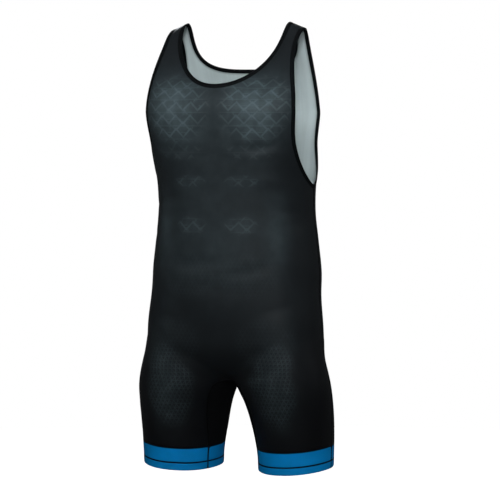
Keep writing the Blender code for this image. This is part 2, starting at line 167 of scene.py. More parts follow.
# Creases, as soft strokes on a face: ends, bow to one side, half width, depth (in below zero).
CREASES = columns(("face", "x0", "z0", "x1", "z1", "bow", "width", "depth"), (
    (FRONT, 0.030, -0.236, 0.128, -0.228, -0.010, 0.0060, -0.0042),
    (FRONT, -0.125, -0.233, -0.036, -0.239, -0.009, 0.0060, -0.0034),
    (FRONT, -0.020, -0.262, 0.070, -0.268, 0.004, 0.0110, -0.0014),
    (FRONT, -0.150, -0.352, -0.070, -0.338, 0.004, 0.0090, -0.0024),
    (FRONT, 0.085, -0.345, 0.150, -0.366, -0.004, 0.0100, -0.0027),
    (FRONT, 0.100, -0.392, 0.155, -0.384, 0.003, 0.0080, -0.0021),
    (FRONT, -0.155, -0.408, -0.085, -0.398, -0.004, 0.0090, -0.0019),
    (FRONT, 0.060, -0.300, 0.145, -0.318, 0.006, 0.0120, 0.0018),
    (FRONT, -0.120, -0.452, 0.030, -0.447, -0.010, 0.0110, -0.0027),
    (FRONT, 0.010, -0.478, 0.120, -0.452, -0.008, 0.0100, -0.0022),
    (FRONT, -0.060, -0.506, 0.080, -0.512, 0.006, 0.0130, -0.0014),
    (FRONT, 0.016, -0.672, 0.100, -0.622, 0.010, 0.0100, -0.0033),
    (FRONT, -0.018, -0.670, -0.108, -0.628, -0.012, 0.0110, -0.0030),
    (FRONT, 0.030, -0.690, 0.140, -0.668, 0.008, 0.0100, -0.0019),
    (FRONT, -0.150, -0.560, -0.070, -0.585, 0.008, 0.0110, -0.0018),
    (FRONT, 0.080, -0.548, 0.150, -0.530, -0.006, 0.0100, -0.0021),
    (FRONT, -0.135, -0.745, -0.075, -0.760, 0.004, 0.0090, -0.0016),
    (FRONT, 0.080, -0.768, 0.140, -0.752, -0.004, 0.0090, -0.0018),
    (BACK, -0.030, -0.352, 0.130, -0.340, 0.010, 0.0100, -0.0029),
    (BACK, -0.140, -0.366, -0.045, -0.372, -0.006, 0.0090, -0.0024),
    (BACK, 0.020, -0.395, 0.140, -0.402, -0.007, 0.0100, -0.0030),
    (BACK, -0.120, -0.418, 0.000, -0.410, 0.006, 0.0110, -0.0023),
    (BACK, 0.060, -0.300, 0.135, -0.285, 0.005, 0.0100, -0.0018),
    (BACK, -0.140, -0.235, -0.065, -0.262, -0.008, 0.0110, -0.0019),
    (BACK, 0.018, -0.655, 0.110, -0.668, -0.012, 0.0100, -0.0033),
    (BACK, -0.020, -0.655, -0.105, -0.672, 0.012, 0.0100, -0.0030),
    (BACK, -0.012, -0.560, 0.012, -0.640, 0.004, 0.0120, -0.0024),
    (BACK, 0.080, -0.740, 0.140, -0.728, 0.004, 0.0090, -0.0018),
    (BACK, -0.140, -0.752, -0.080, -0.742, 0.004, 0.0100, -0.0018),
))
CREASE_FADE = 0.022
CREASE_LEAD = 0.12
CREASE_END = 0.45

# The knit's columns and rows, on the smooth body cloth and on the heavier plain cloth.
WALE = 0.00105
COURSE = 0.00085
PLAIN_WALE = 0.00110
PLAIN_COURSE = 0.00090
WEAVE_RELIEF = 0.0006

# The tonal print: rows of chevrons and, finer, rows of triangles.
CHEVRON_BASE = 0.0305
CHEVRON_ROW = 0.0250
CHEVRON_PEAK = 0.84
CHEVRON_DROP = 0.62
TRIANGLE_BASE = 0.0086
TRIANGLE_ROW = 0.0076
TRIANGLE_LINE = 0.20
# How far the tone tints towards the print colour, for the print, the painted sheen highlights and the
# painted light from above alike.
PRINT_AND_PAINTED_LIGHT_STRENGTH = 0.72

# Stitch rows on each side of a seam, on the body and down a leg band, and their covers.
SEAM_STITCH = 0.0024
COVER_PITCH = 0.0013
BAND_STITCH = 0.0017
BAND_COVER_PITCH = 0.0011
HEM_STITCH_DROPS = (0.0282, 0.0298)
HEM_LINE = 0.0290
BINDING_STITCH = 0.0011
STITCH_SHARE = 0.86
COVER_SHARE = 0.8
HEM_THREAD_SHARE = 1.4

# Tape counts as this far from any seam.
TAPE_GAP = 0.01

# Where the tonal print shows, as soft patches on the flat cloth: middle, reach and strength. The light rows
# are lighter clouds of tone, partly the print's own and partly painted sheen highlights on the chest,
# flanks and thighs.
PATCHES = {
    FRONT: {
        "large": ((0.080, -0.162, 0.078, 0.078, 1.0), (0.070, -0.248, 0.060, 0.016, 0.30),
                  (0.052, -0.302, 0.038, 0.013, 0.55), (0.050, -0.386, 0.036, 0.020, 0.60)),
        "small": ((0.116, -0.690, 0.056, 0.095, 0.85), (0.095, -0.610, 0.070, 0.060, 0.22),
                  (0.060, -0.480, 0.070, 0.050, 0.22)),
        "light": ((0.000, -0.300, 0.150, 0.300, 0.18), (0.080, -0.160, 0.078, 0.080, 0.74),
                  (0.120, -0.400, 0.030, 0.075, 0.30), (0.052, -0.386, 0.034, 0.026, 0.13),
                  (0.052, -0.302, 0.034, 0.020, 0.10), (0.000, -0.440, 0.130, 0.080, 0.12),
                  (0.120, -0.655, 0.046, 0.120, 0.13), (0.126, -0.715, 0.038, 0.075, 0.15)),
    },
    BACK: {
        "large": ((0.085, -0.150, 0.070, 0.074, 0.9), (0.085, -0.240, 0.060, 0.030, 0.30)),
        "small": ((0.045, -0.360, 0.030, 0.050, 0.40), (0.110, -0.690, 0.062, 0.085, 0.70),
                  (0.085, -0.560, 0.055, 0.050, 0.30)),
        "light": ((0.000, -0.300, 0.150, 0.300, 0.20), (0.085, -0.150, 0.070, 0.075, 0.45),
                  (0.118, -0.400, 0.036, 0.075, 0.24), (0.045, -0.360, 0.032, 0.050, 0.10),
                  (0.080, -0.545, 0.065, 0.060, 0.22), (0.110, -0.680, 0.058, 0.090, 0.28)),
    },
}


def read(table, name, height):
    """Smooth value of a column at a height, held level past both ends."""
    order = np.argsort(table["height"])
    knots = table["height"][order]
    values = table[name][order]
    slopes = np.gradient(values, knots)
    height = np.clip(height, knots[0], knots[-1])
    cell = np.clip(np.searchsorted(knots, height) - 1, 0, len(knots) - 2)
    span = knots[cell + 1] - knots[cell]
    t = (height - knots[cell]) / span
    start = (1 + 2 * t) * (1 - t) ** 2 * values[cell] + t * (1 - t) ** 2 * span * slopes[cell]
    end = t * t * (3 - 2 * t) * values[cell + 1] - t * t * (1 - t) * span * slopes[cell + 1]
    return start + end


def bent(value, power):
    """Signed power, which squares off a circle."""
    return np.sign(value) * np.abs(value) ** power


def eased(value):
    """Smooth step from 0 to 1."""
    value = np.clip(value, 0, 1)
    return value * value * (3 - 2 * value)


def unit(vectors):
    """Vectors at length 1."""
    return vectors / np.maximum(np.linalg.norm(vectors, axis=-1, keepdims=True), 1e-12)


def torso_field(x, y, z):
    """Below zero inside the torso, which closes in a round seat."""
    side = read(TORSO, "side", z)
    depth = np.where(y < side, read(TORSO, "front", z) + side, read(TORSO, "back", z) - side)
    square = read(TORSO, "square", z)
    across = np.abs(x) / read(TORSO, "half_width", z)
    radius = (across ** square + np.abs((y - side) / depth) ** square) ** (1 / square)
    sunk = np.clip((SEAT_TOP - z) / (SEAT_TOP - SEAT_BOTTOM), 0, None)
    return (np.hypot(radius, sunk) - 1) * FIELD_SCALE


def leg_field(x, y, z):
    """Below zero inside either leg, which fades out at the hip."""
    forward = y - read(LEG, "middle", z)
    sideways = np.hypot(x, INNER_ROUND) - read(LEG, "centre", z) + LEG_SKEW * forward
    across = sideways / read(LEG, "radius", z)
    along = forward / read(LEG, "depth", z)
    risen = np.clip((z - LEG_CAP) / LEG_CAP_RISE, 0, None)
    return (np.sqrt(across ** 2 + along ** 2 + risen ** 2) - 1) * read(LEG, "radius", z)


def figure_field(points):
    """Torso and legs, run together softly at the groin."""
    x, y, z = np.moveaxis(points, -1, 0)
    torso = torso_field(x, y, z)
    leg = leg_field(x, y, z)
    shared = np.clip(GROIN_BLEND - np.abs(torso - leg), 0, None)
    return np.minimum(torso, leg) - shared ** 2 / (4 * GROIN_BLEND)


def cast(origin, direction, reach=0.30, steps=75, halvings=24):
    """Where each ray first leaves the figure."""
    origin, direction = np.broadcast_arrays(origin, direction)
    direction = unit(direction)
    marks = np.linspace(0, reach, steps)
    samples = origin[..., None, :] + marks[:, None] * direction[..., None, :]
    first = np.argmax(figure_field(samples) > 0, axis=-1)
    far = marks[first]
    near = marks[np.maximum(first - 1, 0)]
    for _ in range(halvings):
        middle = (near + far) / 2
        outside = figure_field(origin + middle[..., None] * direction) > 0
        far = np.where(outside, middle, far)
        near = np.where(outside, near, middle)
    return origin + ((near + far) / 2)[..., None] * direction


def axis(height):
    """Centre of the turn at a height, and the half sizes that scale it."""
    lean = eased((AXIS_TOP - height) / AXIS_SPAN)
    centre = lean * read(LEG, "centre", height)
    width = read(TORSO, "half_width", height) * (1 - lean) + read(LEG, "radius", height) * lean
    return centre, width, lean


def depth_at(height, face, lean):
    """Half depth of the front or back at a height."""
    side = read(TORSO, "side", height)
    torso = read(TORSO, "front", height) + side if face == FRONT else read(TORSO, "back", height) - side
    return torso * (1 - lean) + read(LEG, "depth", height) * lean


def ridge(x):
    """Height of the shoulder line."""
    return -SHOULDER_SLOPE * (np.abs(x) - RIDGE_START)


def skin(turn, climb, face):
    """Point of the figure at a turn from the middle towards the side, and a climb.

    Below the yoke the climb is the height. Above it the climb goes on over the arch.
    """
    turn, climb = np.broadcast_arrays(np.radians(turn), climb)
    low = np.minimum(climb, YOKE)
    power = 2 / read(TORSO, "square", low)
    sine = bent(np.sin(turn), power)
    cosine = bent(np.cos(turn), power)
    centre, width, lean = axis(low)
    side = read(TORSO, "side", low)
    depth = depth_at(low, face, lean)
    origin = np.stack([centre, side, low], axis=-1)
    heading = np.stack([width * sine, face * depth * cosine, np.zeros_like(low)], axis=-1)
    below = cast(origin, heading)
    arch = np.clip((climb - YOKE) / ARCH, 0, None)
    x = read(TORSO, "half_width", YOKE) * sine
    z = YOKE + (ridge(x) - YOKE) * bent(np.sin(arch), ARCH_UP)
    share = np.clip(np.abs(x) / ARCH_REACH, 0, 1)
    flow = ARCH_IN + ARCH_NECK * np.sin(np.pi * share) ** 2 * (1 - np.sin(arch) ** 6)
    y = (read(TORSO, "side", YOKE) + face * depth * cosine) * bent(np.cos(arch), flow)
    above = np.stack([x, y, z], axis=-1)
    return np.where((climb > YOKE)[..., None], above, below)


def skin_normals(turn, climb, face):
    """Directions straight out of the cloth."""
    nudge = 0.5
    rise = 0.002
    across = skin(turn + nudge, climb, face) - skin(turn - nudge, climb, face)
    up = skin(turn, climb + rise, face) - skin(turn, climb - rise, face)
    return unit(np.cross(across, up) * -face)


def face_mark(x, z, face):
    """Turn and climb of the point on one face at a given x and height."""
    x, z = np.broadcast_arrays(np.asarray(x, float), np.asarray(z, float))
    low = np.minimum(z, YOKE)
    side = read(TORSO, "side", low)
    point = cast(np.stack([x, side, low], axis=-1), np.array([0.0, face, 0.0]))
    centre, width, lean = axis(low)
    power = read(TORSO, "square", low) / 2
    sine = bent((point[..., 0] - centre) / width, power)
    cosine = bent(np.abs(point[..., 1] - side) / depth_at(low, face, lean), power)
    turn = np.degrees(np.arctan2(sine, cosine))
    share = np.clip((z - YOKE) / (ridge(x) - YOKE), 0, 1)
    high = np.degrees(np.arcsin(bent(np.abs(x) / read(TORSO, "half_width", YOKE), power)))
    climb = YOKE + ARCH * np.arcsin(share ** (1 / ARCH_UP))
    raised = z > YOKE
    return np.where(raised, high, turn), np.where(raised, climb, z)


def run_lengths(path):
    """Distance along a polyline at each of its points."""
    return np.concatenate([[0], np.cumsum(np.linalg.norm(np.diff(path[:, :3], axis=0), axis=1))])


def even_steps(path, count):
    """Resample a polyline, with what it carries, at equal distances."""
    lengths = run_lengths(path)
    marks = np.linspace(0, lengths[-1], count + 1)
    return np.stack([np.interp(marks, lengths, path[:, place]) for place in range(path.shape[1])], axis=1)


def along_skin(turn, climb, face, shares):
    """Turn and climb at shares of the length of a line drawn on the figure."""
    lengths = run_lengths(skin(turn, climb, face))
    marks = shares * lengths[-1]
    return np.interp(marks, lengths, turn), np.interp(marks, lengths, climb)


def closing_steps(count):
    """Shares from 0 to 1 whose steps shorten towards the end."""
    return 1 - (1 - np.linspace(0, 1, count + 1)) ** SHOULDER_CLOSING


def hem_plane(x, y, raised):
    """Height of the leg opening's plane, raised by a distance."""
    centre = read(LEG, "centre", HEM_HEIGHT)
    middle = read(LEG, "middle", HEM_HEIGHT)
    return HEM_HEIGHT + raised + HEM_TILT_OUT * (np.abs(x) - centre) + HEM_TILT_BACK * (y - middle)


def gusset_edge(face):
    """Seam from the top of the leg band up to the middle, as points."""
    drops = GUSSET_SEAM["drop"]
    lengths = run_lengths(np.stack([drops, GUSSET_SEAM["x"], drops * 0], axis=1))
    knots = {"height": lengths, "drop": drops, "x": GUSSET_SEAM["x"]}
    marks = np.linspace(0, lengths[-1], LINE_SAMPLES)
    x = np.clip(read(knots, "x", marks), 0, None)
    z = GUSSET_TOP - read(knots, "drop", marks)
    side = read(TORSO, "side", z)
    points = cast(np.stack([x, side, z], axis=-1), np.array([0.0, face, 0.0]))
    excess = z - hem_plane(points[:, 0], points[:, 1], BAND_HEIGHT)
    last = np.count_nonzero(excess > 0)
    share = excess[last - 1] / (excess[last - 1] - excess[last])
    end = points[last - 1] + share * (points[last] - points[last - 1])
    path = np.concatenate([points[:last], end[None]])[::-1]
    return even_steps(path, SEAM_ROWS)


def inner_marks(face):
    """Turn and climb along the edge nearest the middle, from the leg band to the shoulder."""
    seam = gusset_edge(face)
    seam_turn, seam_climb = face_mark(seam[:, 0], seam[:, 2], face)
    depth = NECK_FRONT_DEPTH if face == FRONT else NECK_BACK_DEPTH
    square = NECK_FRONT_SQUARE if face == FRONT else NECK_BACK_SQUARE
    heights = np.linspace(GUSSET_TOP, -depth, LINE_SAMPLES)
    body = face_mark(0.0, heights, face)
    body = along_skin(*body, face, np.linspace(0, 1, BODY_ROWS + 1))
    swing = np.linspace(0, np.pi / 2, LINE_SAMPLES)
    neck = np.stack([STRAP_INNER * np.sin(swing) ** (2 / square),
                     -depth * np.cos(swing) ** (2 / square)], axis=1)
    neck[:, 1] += ridge(STRAP_INNER) * (neck[:, 1] + depth) / depth
    yoke = face_mark(neck[:, 0], neck[:, 1], face)
    yoke = along_skin(*yoke, face, closing_steps(YOKE_ROWS))
    return (np.concatenate([seam_turn, body[0][1:], yoke[0][1:]]),
            np.concatenate([seam_climb, body[1][1:], yoke[1][1:]]))


def outer_marks(face):
    """Turn and climb along the side seam and the armhole, from the leg band to the shoulder."""
    outer_x = read(LEG, "centre", HEM_HEIGHT) + read(LEG, "radius", HEM_HEIGHT)
    band_top = hem_plane(outer_x, read(LEG, "middle", HEM_HEIGHT), BAND_HEIGHT)
    low = np.linspace(band_top, SIDE_AT_CROTCH, SEAM_ROWS + 1)
    swing = np.linspace(0, np.pi / 2, LINE_SAMPLES)
    turn = 90 - (90 - ARMHOLE_TURN[face]) * np.sin(swing) ** ARMHOLE_SQUARE[face]
    climb = ARMHOLE_BOTTOM + (YOKE - ARMHOLE_BOTTOM) * (1 - np.cos(swing))
    share = np.linspace(0, 1, LINE_SAMPLES)[1:]
    width = read(TORSO, "half_width", YOKE)
    power = 2 / read(TORSO, "square", YOKE)
    start = width * np.sin(np.radians(ARMHOLE_TURN[face])) ** power
    x = start + (STRAP_OUTER - start) * eased((share - TAPER_START) / (TAPER_END - TAPER_START))
    x -= ARMHOLE_DIP[face] * 4 * share * (1 - share)
    turn = np.concatenate([turn, np.degrees(np.arcsin((x / width) ** (1 / power)))])
    climb = np.concatenate([climb, YOKE + ARCH * share * np.pi / 2])
    shares = np.concatenate([np.linspace(0, HOLE_AT_NECK, ARMHOLE_ROWS + 1)[1:-1],
                             HOLE_AT_NECK + (1 - HOLE_AT_NECK) * closing_steps(YOKE_ROWS)])
    hole = along_skin(turn, climb, face, shares)
    side_rows = BODY_ROWS - ARMHOLE_ROWS
    sides = np.linspace(SIDE_AT_CROTCH, ARMHOLE_BOTTOM, side_rows + 1)[1:]
    return (np.concatenate([np.full(SEAM_ROWS + 1 + side_rows, 90.0), hole[0]]),
            np.concatenate([low, sides, hole[1]]))


def panel_grid(face, inner, outer):
    """Half a front or back, a row of points for each level, and its place on the flat cloth."""
    share = np.linspace(0, 1, PANEL_CELLS + 1)
    turn = inner[0][:, None] * (1 - share) + outer[0][:, None] * share
    climb = inner[1][:, None] * (1 - share) + outer[1][:, None] * share
    swing = np.radians(turn[0])
    x = read(LEG, "centre", HEM_HEIGHT) + read(LEG, "radius", HEM_HEIGHT) * np.sin(swing)
    y = read(LEG, "middle", HEM_HEIGHT) + face * read(LEG, "depth", HEM_HEIGHT) * np.cos(swing)
    dip = hem_plane(x, y, BAND_HEIGHT) - climb[0]
    dip -= dip[0] * (1 - share) + dip[-1] * share
    fade = np.clip(1 - np.arange(len(turn)) / SEAM_ROWS, 0, 1)
    climb = climb + fade[:, None] * dip
    grid = skin(turn, climb, face)
    grid[SEAM_ROWS:SEAM_ROWS + BODY_ROWS + 1, 0, 0] = 0
    steps = np.linalg.norm(np.diff(grid[..., :2], axis=1), axis=-1)
    u = np.cumsum(np.concatenate([grid[:, :1, 0], steps], axis=1), axis=1)
    lift = np.hypot(np.diff(grid[..., 1], axis=0), np.diff(grid[..., 2], axis=0))
    rise = np.where(climb[1:] > YOKE, lift, np.diff(climb, axis=0))
    v = np.cumsum(np.concatenate([climb[:1], rise]), axis=0)
    return grid, np.stack([u, v], axis=-1)


def gusset_grid(front_edge, back_edge):
    """Half the gusset: a row from the front seam to the back seam for each level."""
    share = np.linspace(0, 1, GUSSET_CELLS + 1)[:, None]
    rows = []
    for front, back in zip(front_edge, back_edge):
        height = (front[2] + back[2]) / 2
        near = np.clip(front[0] / GUSSET_LEG_X, 0, 1)
        centre = np.array([read(LEG, "centre", height) * near, read(LEG, "middle", height),
                           height + GUSSET_RAY_RISE * (1 - near)])
        start = unit(front - centre)
        end = unit(back - centre)
        angle = np.arccos(start @ end)
        rows.append(cast(centre, np.sin((1 - share) * angle) * start + np.sin(share * angle) * end))
    grid = np.array(rows)
    grid[:, 0] = front_edge
    grid[:, -1] = back_edge
    grid[-1, :, 0] = 0
    return grid


def band_grid(ring):
    """One leg band: the ring along its top, carried down to the leg opening."""
    rows = []
    angle = np.arctan2(ring[:, 1] - read(LEG, "middle", ring[:, 2]),
                       ring[:, 0] - read(LEG, "centre", ring[:, 2]))
    heading = np.stack([np.cos(angle), np.sin(angle), np.zeros(len(ring))], axis=1)
    for drop in BAND_DROPS:
        height = ring[:, 2] - drop
        centre = np.stack([read(LEG, "centre", height), read(LEG, "middle", height), height], axis=1)
        rows.append(cast(centre, heading))
    return np.array(rows)


def mirrored(points):
    """The same points, or directions, on the wearer's other side."""
    return points * np.array([-1.0, 1.0, 1.0])


def grid_cells(rows, count, closed=False):
    """Four corner numbers for each cell of a grid, closed along its rows where asked."""
    numbers = np.arange(rows * count).reshape(rows, count)
    after = np.roll(numbers, -1, axis=1) if closed else numbers[:, 1:]
    here = numbers if closed else numbers[:, :-1]
    cells = np.stack([here[:-1], after[:-1], after[1:], here[1:]], axis=-1)
    return cells.reshape(-1, 4)


def whole(points, cells, flat):
    """Both halves of a piece, joined where it meets the middle."""
    count = len(points)
    other = np.arange(count) + count
    on_middle = np.abs(points[:, 0]) < 1e-6
    other[on_middle] = np.arange(count)[on_middle]
    both = np.concatenate([points, mirrored(points)])
    flats = np.concatenate([flat, flat * np.array([-1.0, 1.0])])
    corners = np.concatenate([cells, other[cells][:, ::-1]])
    kept, corners = np.unique(corners, return_inverse=True)
    return both[kept], corners.reshape(-1, 4), flats[kept]


def cell_normals(points, cells):
    """Smooth directions out of a surface at its points, from its cells."""
    spans = points[cells]
    face = np.cross(spans[:, 2] - spans[:, 0], spans[:, 3] - spans[:, 1])
    normals = np.zeros_like(points)
    for corner in range(4):
        np.add.at(normals, cells[:, corner], face)
    return unit(normals)


def nearest(points, path):
    """Distance from each point to the nearest point of a path."""
    gaps = np.full(len(points), np.inf)
    for start in range(0, len(path), 64):
        block = path[None, start:start + 64]
        gaps = np.minimum(gaps, np.linalg.norm(points[:, None] - block, axis=-1).min(axis=1))
    return gaps


def crease(points, face):
    """How far the cloth of one face stands out or sinks in at each point."""
    rise = np.zeros(len(points))
    for row in range(len(CREASES["face"])):
        stroke = {name: column[row] for name, column in CREASES.items()}
        if stroke["face"] != face:
            continue
        start = np.array([stroke["x0"], stroke["z0"]])
        run = np.array([stroke["x1"], stroke["z1"]]) - start
        length = np.linalg.norm(run)
        run = run / length
        place = points[:, [0, 2]] - start
        along = place @ run / length
        off = place @ np.array([-run[1], run[0]]) - stroke["bow"] * 4 * along * (1 - along)
        ends = eased((along + CREASE_LEAD) / CREASE_END)
        ends *= eased((1 + CREASE_LEAD - along) / CREASE_END)
        width = stroke["width"] * (0.75 + 0.5 * np.clip(along, 0, 1))
        rise += stroke["depth"] * ends * np.exp(-(off / width) ** 2)
    return rise


def placed(name, data):
    """A new object with this data, in the scene."""
    shape = bpy.data.objects.new(name, data)
    bpy.context.scene.collection.objects.link(shape)
    return shape


def cloth_mesh(name, points, faces, flats, gap, materials):
    """A mesh with its place on the flat cloth, its distance from a seam and its materials."""
    mesh = bpy.data.meshes.new(name)
    mesh.from_pydata(points.tolist(), [], faces.tolist())
    mesh.uv_layers.new(name="flat_cloth").data.foreach_set("uv", flats.ravel())
    mesh.attributes.new("seam_gap", "FLOAT", "POINT").data.foreach_set("value", gap)
    for material in materials:
        mesh.materials.append(material)
    mesh.shade_smooth()
    return mesh


def facing_out(cells, normals, spokes):
    """The cells, turned over if their directions point inwards."""
    return cells[:, ::-1] if np.sum(normals * spokes) < 0 else cells


def shell(name, points, cells, flat, out_wall, in_wall, seam, materials):
    """A closed shell of cloth on a surface, with its flat place and its distance from a seam."""
    count = len(points)
    normals = cell_normals(points, cells)
    out_wall = np.broadcast_to(out_wall, count)[:, None]
    in_wall = np.broadcast_to(in_wall, count)[:, None]
    corners = np.concatenate([points + normals * out_wall, points - normals * in_wall])
    used = {(edge[0], edge[1]) for cell in cells.tolist() for edge in zip(cell, cell[1:] + cell[:1])}
    rim = [(b, a, a + count, b + count) for a, b in used if (b, a) not in used]
    faces = np.concatenate([cells, cells[:, ::-1] + count, np.array(sorted(rim)).reshape(-1, 4)])
    mesh = cloth_mesh(name, corners, faces, np.concatenate([flat, flat])[faces],
                      np.concatenate([seam, seam]), materials)
    side = np.zeros(len(faces), dtype=int)
    side[len(cells):2 * len(cells)] = len(materials) - 1
    mesh.polygons.foreach_set("material_index", side)
    mesh.set_sharp_from_angle(angle=math.radians(SHARP_ANGLE))
    return placed(name, mesh)


def finish_piece(shape, slot, *nodes):
    """Put a piece on the garment's body, in place of its solids. The slot is not used."""
    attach(shape, BODY)
    if nodes:
        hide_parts(*nodes)
    return shape


FORM = {}


def garment_form():
    """Every grid and edge of the garment, worked out once."""
    if FORM:
        return FORM
    inner = {face: inner_marks(face) for face in (FRONT, BACK)}
    outer = {face: outer_marks(face) for face in (FRONT, BACK)}
    FORM["inner"] = inner
    FORM["outer"] = outer
    FORM["panel"] = {face: panel_grid(face, inner[face], outer[face]) for face in (FRONT, BACK)}
    front = FORM["panel"][FRONT][0]
    back = FORM["panel"][BACK][0]
    seam = slice(0, SEAM_ROWS + 1)
    FORM["gusset"] = gusset_grid(front[seam, 0], back[seam, 0])
    ring = np.concatenate([front[0], back[0][::-1][1:], FORM["gusset"][0][::-1][1:-1]])
    FORM["band"] = band_grid(ring)
    return FORM


def edge_line(face, first, last, place):
    """Points and outward directions along a panel's inner or outer edge."""
    form = garment_form()
    turn, climb = form["inner" if place == 0 else "outer"][face]
    rows = slice(first, last)
    line = form["panel"][face][0][rows, place]
    return np.concatenate([line, skin_normals(turn[rows], climb[rows], face)], axis=1)


def mirror_line(line):
    """A line with its directions, on the wearer's other side."""
    return np.concatenate([mirrored(line[:, :3]), mirrored(line[:, 3:6])], axis=1)


def seam_lines():
    """Side, shoulder, gusset and leg band seams, each as points with outward directions."""
    form = garment_form()
    side_end = SEAM_ROWS + BODY_ROWS - ARMHOLE_ROWS + 1
    side = edge_line(FRONT, 0, side_end, -1)
    side[:, 3:] = unit(side[:, 3:] + edge_line(BACK, 0, side_end, -1)[:, 3:])
    lines = {"side": [side, mirror_line(side)], "gusset": [], "shoulder": [], "band": []}
    for face in (FRONT, BACK):
        half = edge_line(face, 0, SEAM_ROWS + 1, 0)
        lines["gusset"].append(np.concatenate([half, mirror_line(half)[::-1][1:]]))
    top = form["panel"][FRONT][0][-1]
    lean = unit(np.array([SHOULDER_SLOPE, 0.0, 1.0]))
    top = np.concatenate([top, np.broadcast_to(lean, top.shape)], axis=1)
    lines["shoulder"] = [top, mirror_line(top)]
    band = form["band"]
    normals = band_normals(band)
    for place in (0, PANEL_CELLS, 2 * PANEL_CELLS):
        line = np.concatenate([band[:, place], normals[:, place]], axis=1)
        lines["band"] += [line, mirror_line(line)]
    return lines


def band_normals(band):
    """Outward directions of a leg band's grid."""
    along = np.roll(band, -1, axis=1) - np.roll(band, 1, axis=1)
    down = np.gradient(band, axis=0)
    normals = unit(np.cross(down, along))
    centre = band.mean(axis=1, keepdims=True)
    return normals * np.sign(np.sum(normals * (band - centre)))


def binding_frames(edge):
    """Directions into the opening and out of the cloth along a closed edge."""
    points = edge[:, :3]
    normals = edge[:, 3:]
    along = np.roll(points, -1, axis=0) - np.roll(points, 1, axis=0)
    outward = unit(np.cross(along, normals))
    outward *= np.sign(np.sum(outward * (points.mean(axis=0) - points), axis=1, keepdims=True))
    level = unit(np.cross(outward, along))
    level *= np.sign(np.sum(level * normals, axis=1, keepdims=True))
    return outward, level


def neck_edge():
    """The neckline all round, as points with outward directions."""
    front, back = (edge_line(face, SEAM_ROWS + BODY_ROWS, None, 0) for face in (FRONT, BACK))
    half = np.concatenate([front, back[::-1][1:]])
    return np.concatenate([half, mirror_line(half[::-1][1:-1])])


def armhole_edge():
    """The wearer's left armhole all round, as points with outward directions."""
    first = SEAM_ROWS + BODY_ROWS - ARMHOLE_ROWS
    front, back = (edge_line(face, first, None, -1) for face in (FRONT, BACK))
    return np.concatenate([front, back[::-1][1:-1]])


class Shade:
    """A shader value or colour that takes part in arithmetic."""

    def __init__(self, tree, socket):
        self.tree = tree
        self.socket = socket

    def node(self, kind, settings=(), output=0, **sockets):
        """Add a node: its type, its settings, then the values or links of its sockets."""
        made = self.tree.nodes.new(kind)
        for name, value in dict(settings).items():
            setattr(made, name, value)
        for name, value in sockets.items():
            place = int(name[1:]) if name[1:].isdigit() else name.replace("_", " ")
            if isinstance(value, Shade):
                self.tree.links.new(value.socket, made.inputs[place])
            else:
                made.inputs[place].default_value = value
        return Shade(self.tree, made.outputs[output])

    def maths(self, operation, *values):
        """One Math node on these values."""
        return self.node("ShaderNodeMath", {"operation": operation},
                         **{f"i{place}": value for place, value in enumerate(values)})

    def __add__(self, other):
        return self.maths("ADD", self, other)

    def __sub__(self, other):
        return self.maths("SUBTRACT", self, other)

    def __mul__(self, other):
        return self.maths("MULTIPLY", self, other)

    def __truediv__(self, other):
        return self.maths("DIVIDE", self, other)

    def __radd__(self, other):
        return self.maths("ADD", other, self)

    def __rsub__(self, other):
        return self.maths("SUBTRACT", other, self)

    def __rmul__(self, other):
        return self.maths("MULTIPLY", other, self)

    def fold(self):
        """Distance from zero."""
        return self.maths("ABSOLUTE", self)

    def part(self):
        """What is left past the whole number below."""
        return self.maths("FRACT", self)

    def floor(self):
        """The whole number below."""
        return self.maths("FLOOR", self)

    def wave(self, pitch):
        """A sine with this pitch."""
        return self.maths("SINE", self * (2 * math.pi / pitch))

    def most(self, other):
        """The larger of two."""
        return self.maths("MAXIMUM", self, other)

    def step(self, low, high):
        """Smooth step from 0 at low to 1 at high."""
        return self.node("ShaderNodeMapRange", {"interpolation_type": "SMOOTHSTEP", "clamp": True},
                         i0=self, i1=low, i2=high)

    def fade(self, rate):
        """Dies away from 1 as the value grows from 0."""
        return self.maths("EXPONENT", self * -rate)

    def tint(self, first, second):
        """From one colour at 0 to another at 1."""
        sockets = {"i0": self, "i6": first, "i7": second}
        return self.node("ShaderNodeMix", {"data_type": "RGBA"}, 2, **sockets)


def cloth_surface(name, roughness, grain, level):
    """A new material, its shader, and what its pattern is drawn from, in one bundle."""
    material = bpy.data.materials.new(name)
    material.use_nodes = True
    tree = material.node_tree
    shader = tree.nodes["Principled BSDF"]
    shader.inputs["Roughness"].default_value = roughness
    shader.inputs["Specular IOR Level"].default_value = level
    start = Shade(tree, None)
    split = tree.nodes.new("ShaderNodeSeparateXYZ")
    place = start.node("ShaderNodeUVMap", {"uv_map": "flat_cloth"})
    tree.links.new(place.socket, split.inputs[0])
    u = Shade(tree, split.outputs[0])
    v = Shade(tree, split.outputs[1])
    body = start.node("ShaderNodeTexCoord", output=3)
    mottle = start.node("ShaderNodeTexNoise", i0=body, Scale=grain, Detail=4.0, Roughness=0.55)
    seam = start.node("ShaderNodeAttribute", {"attribute_name": "seam_gap"}, 2)
    return SimpleNamespace(material=material, shader=shader, u=u, v=v, body=body, mottle=mottle,
                           seam=seam)


def finish_surface(shader, colour, height, distance, roughness=None):
    """Link a colour, a bump and perhaps a roughness to a shader."""
    tree = colour.tree
    tree.links.new(colour.socket, shader.inputs["Base Color"])
    bump = colour.node("ShaderNodeBump", Height=height, Distance=distance, Strength=1.0)
    tree.links.new(bump.socket, shader.inputs["Normal"])
    if roughness is not None:
        tree.links.new(roughness.socket, shader.inputs["Roughness"])


def knit(u, v, wale, course):
    """Height of a fine knit: columns of stitches, each row a little sunk."""
    column = (u / wale).part() - 0.5
    slant = (v / course + column.fold() * 0.9).part() - 0.5
    return (1 - column.fold() * 1.6) * (1 - slant.fold() * 1.2)


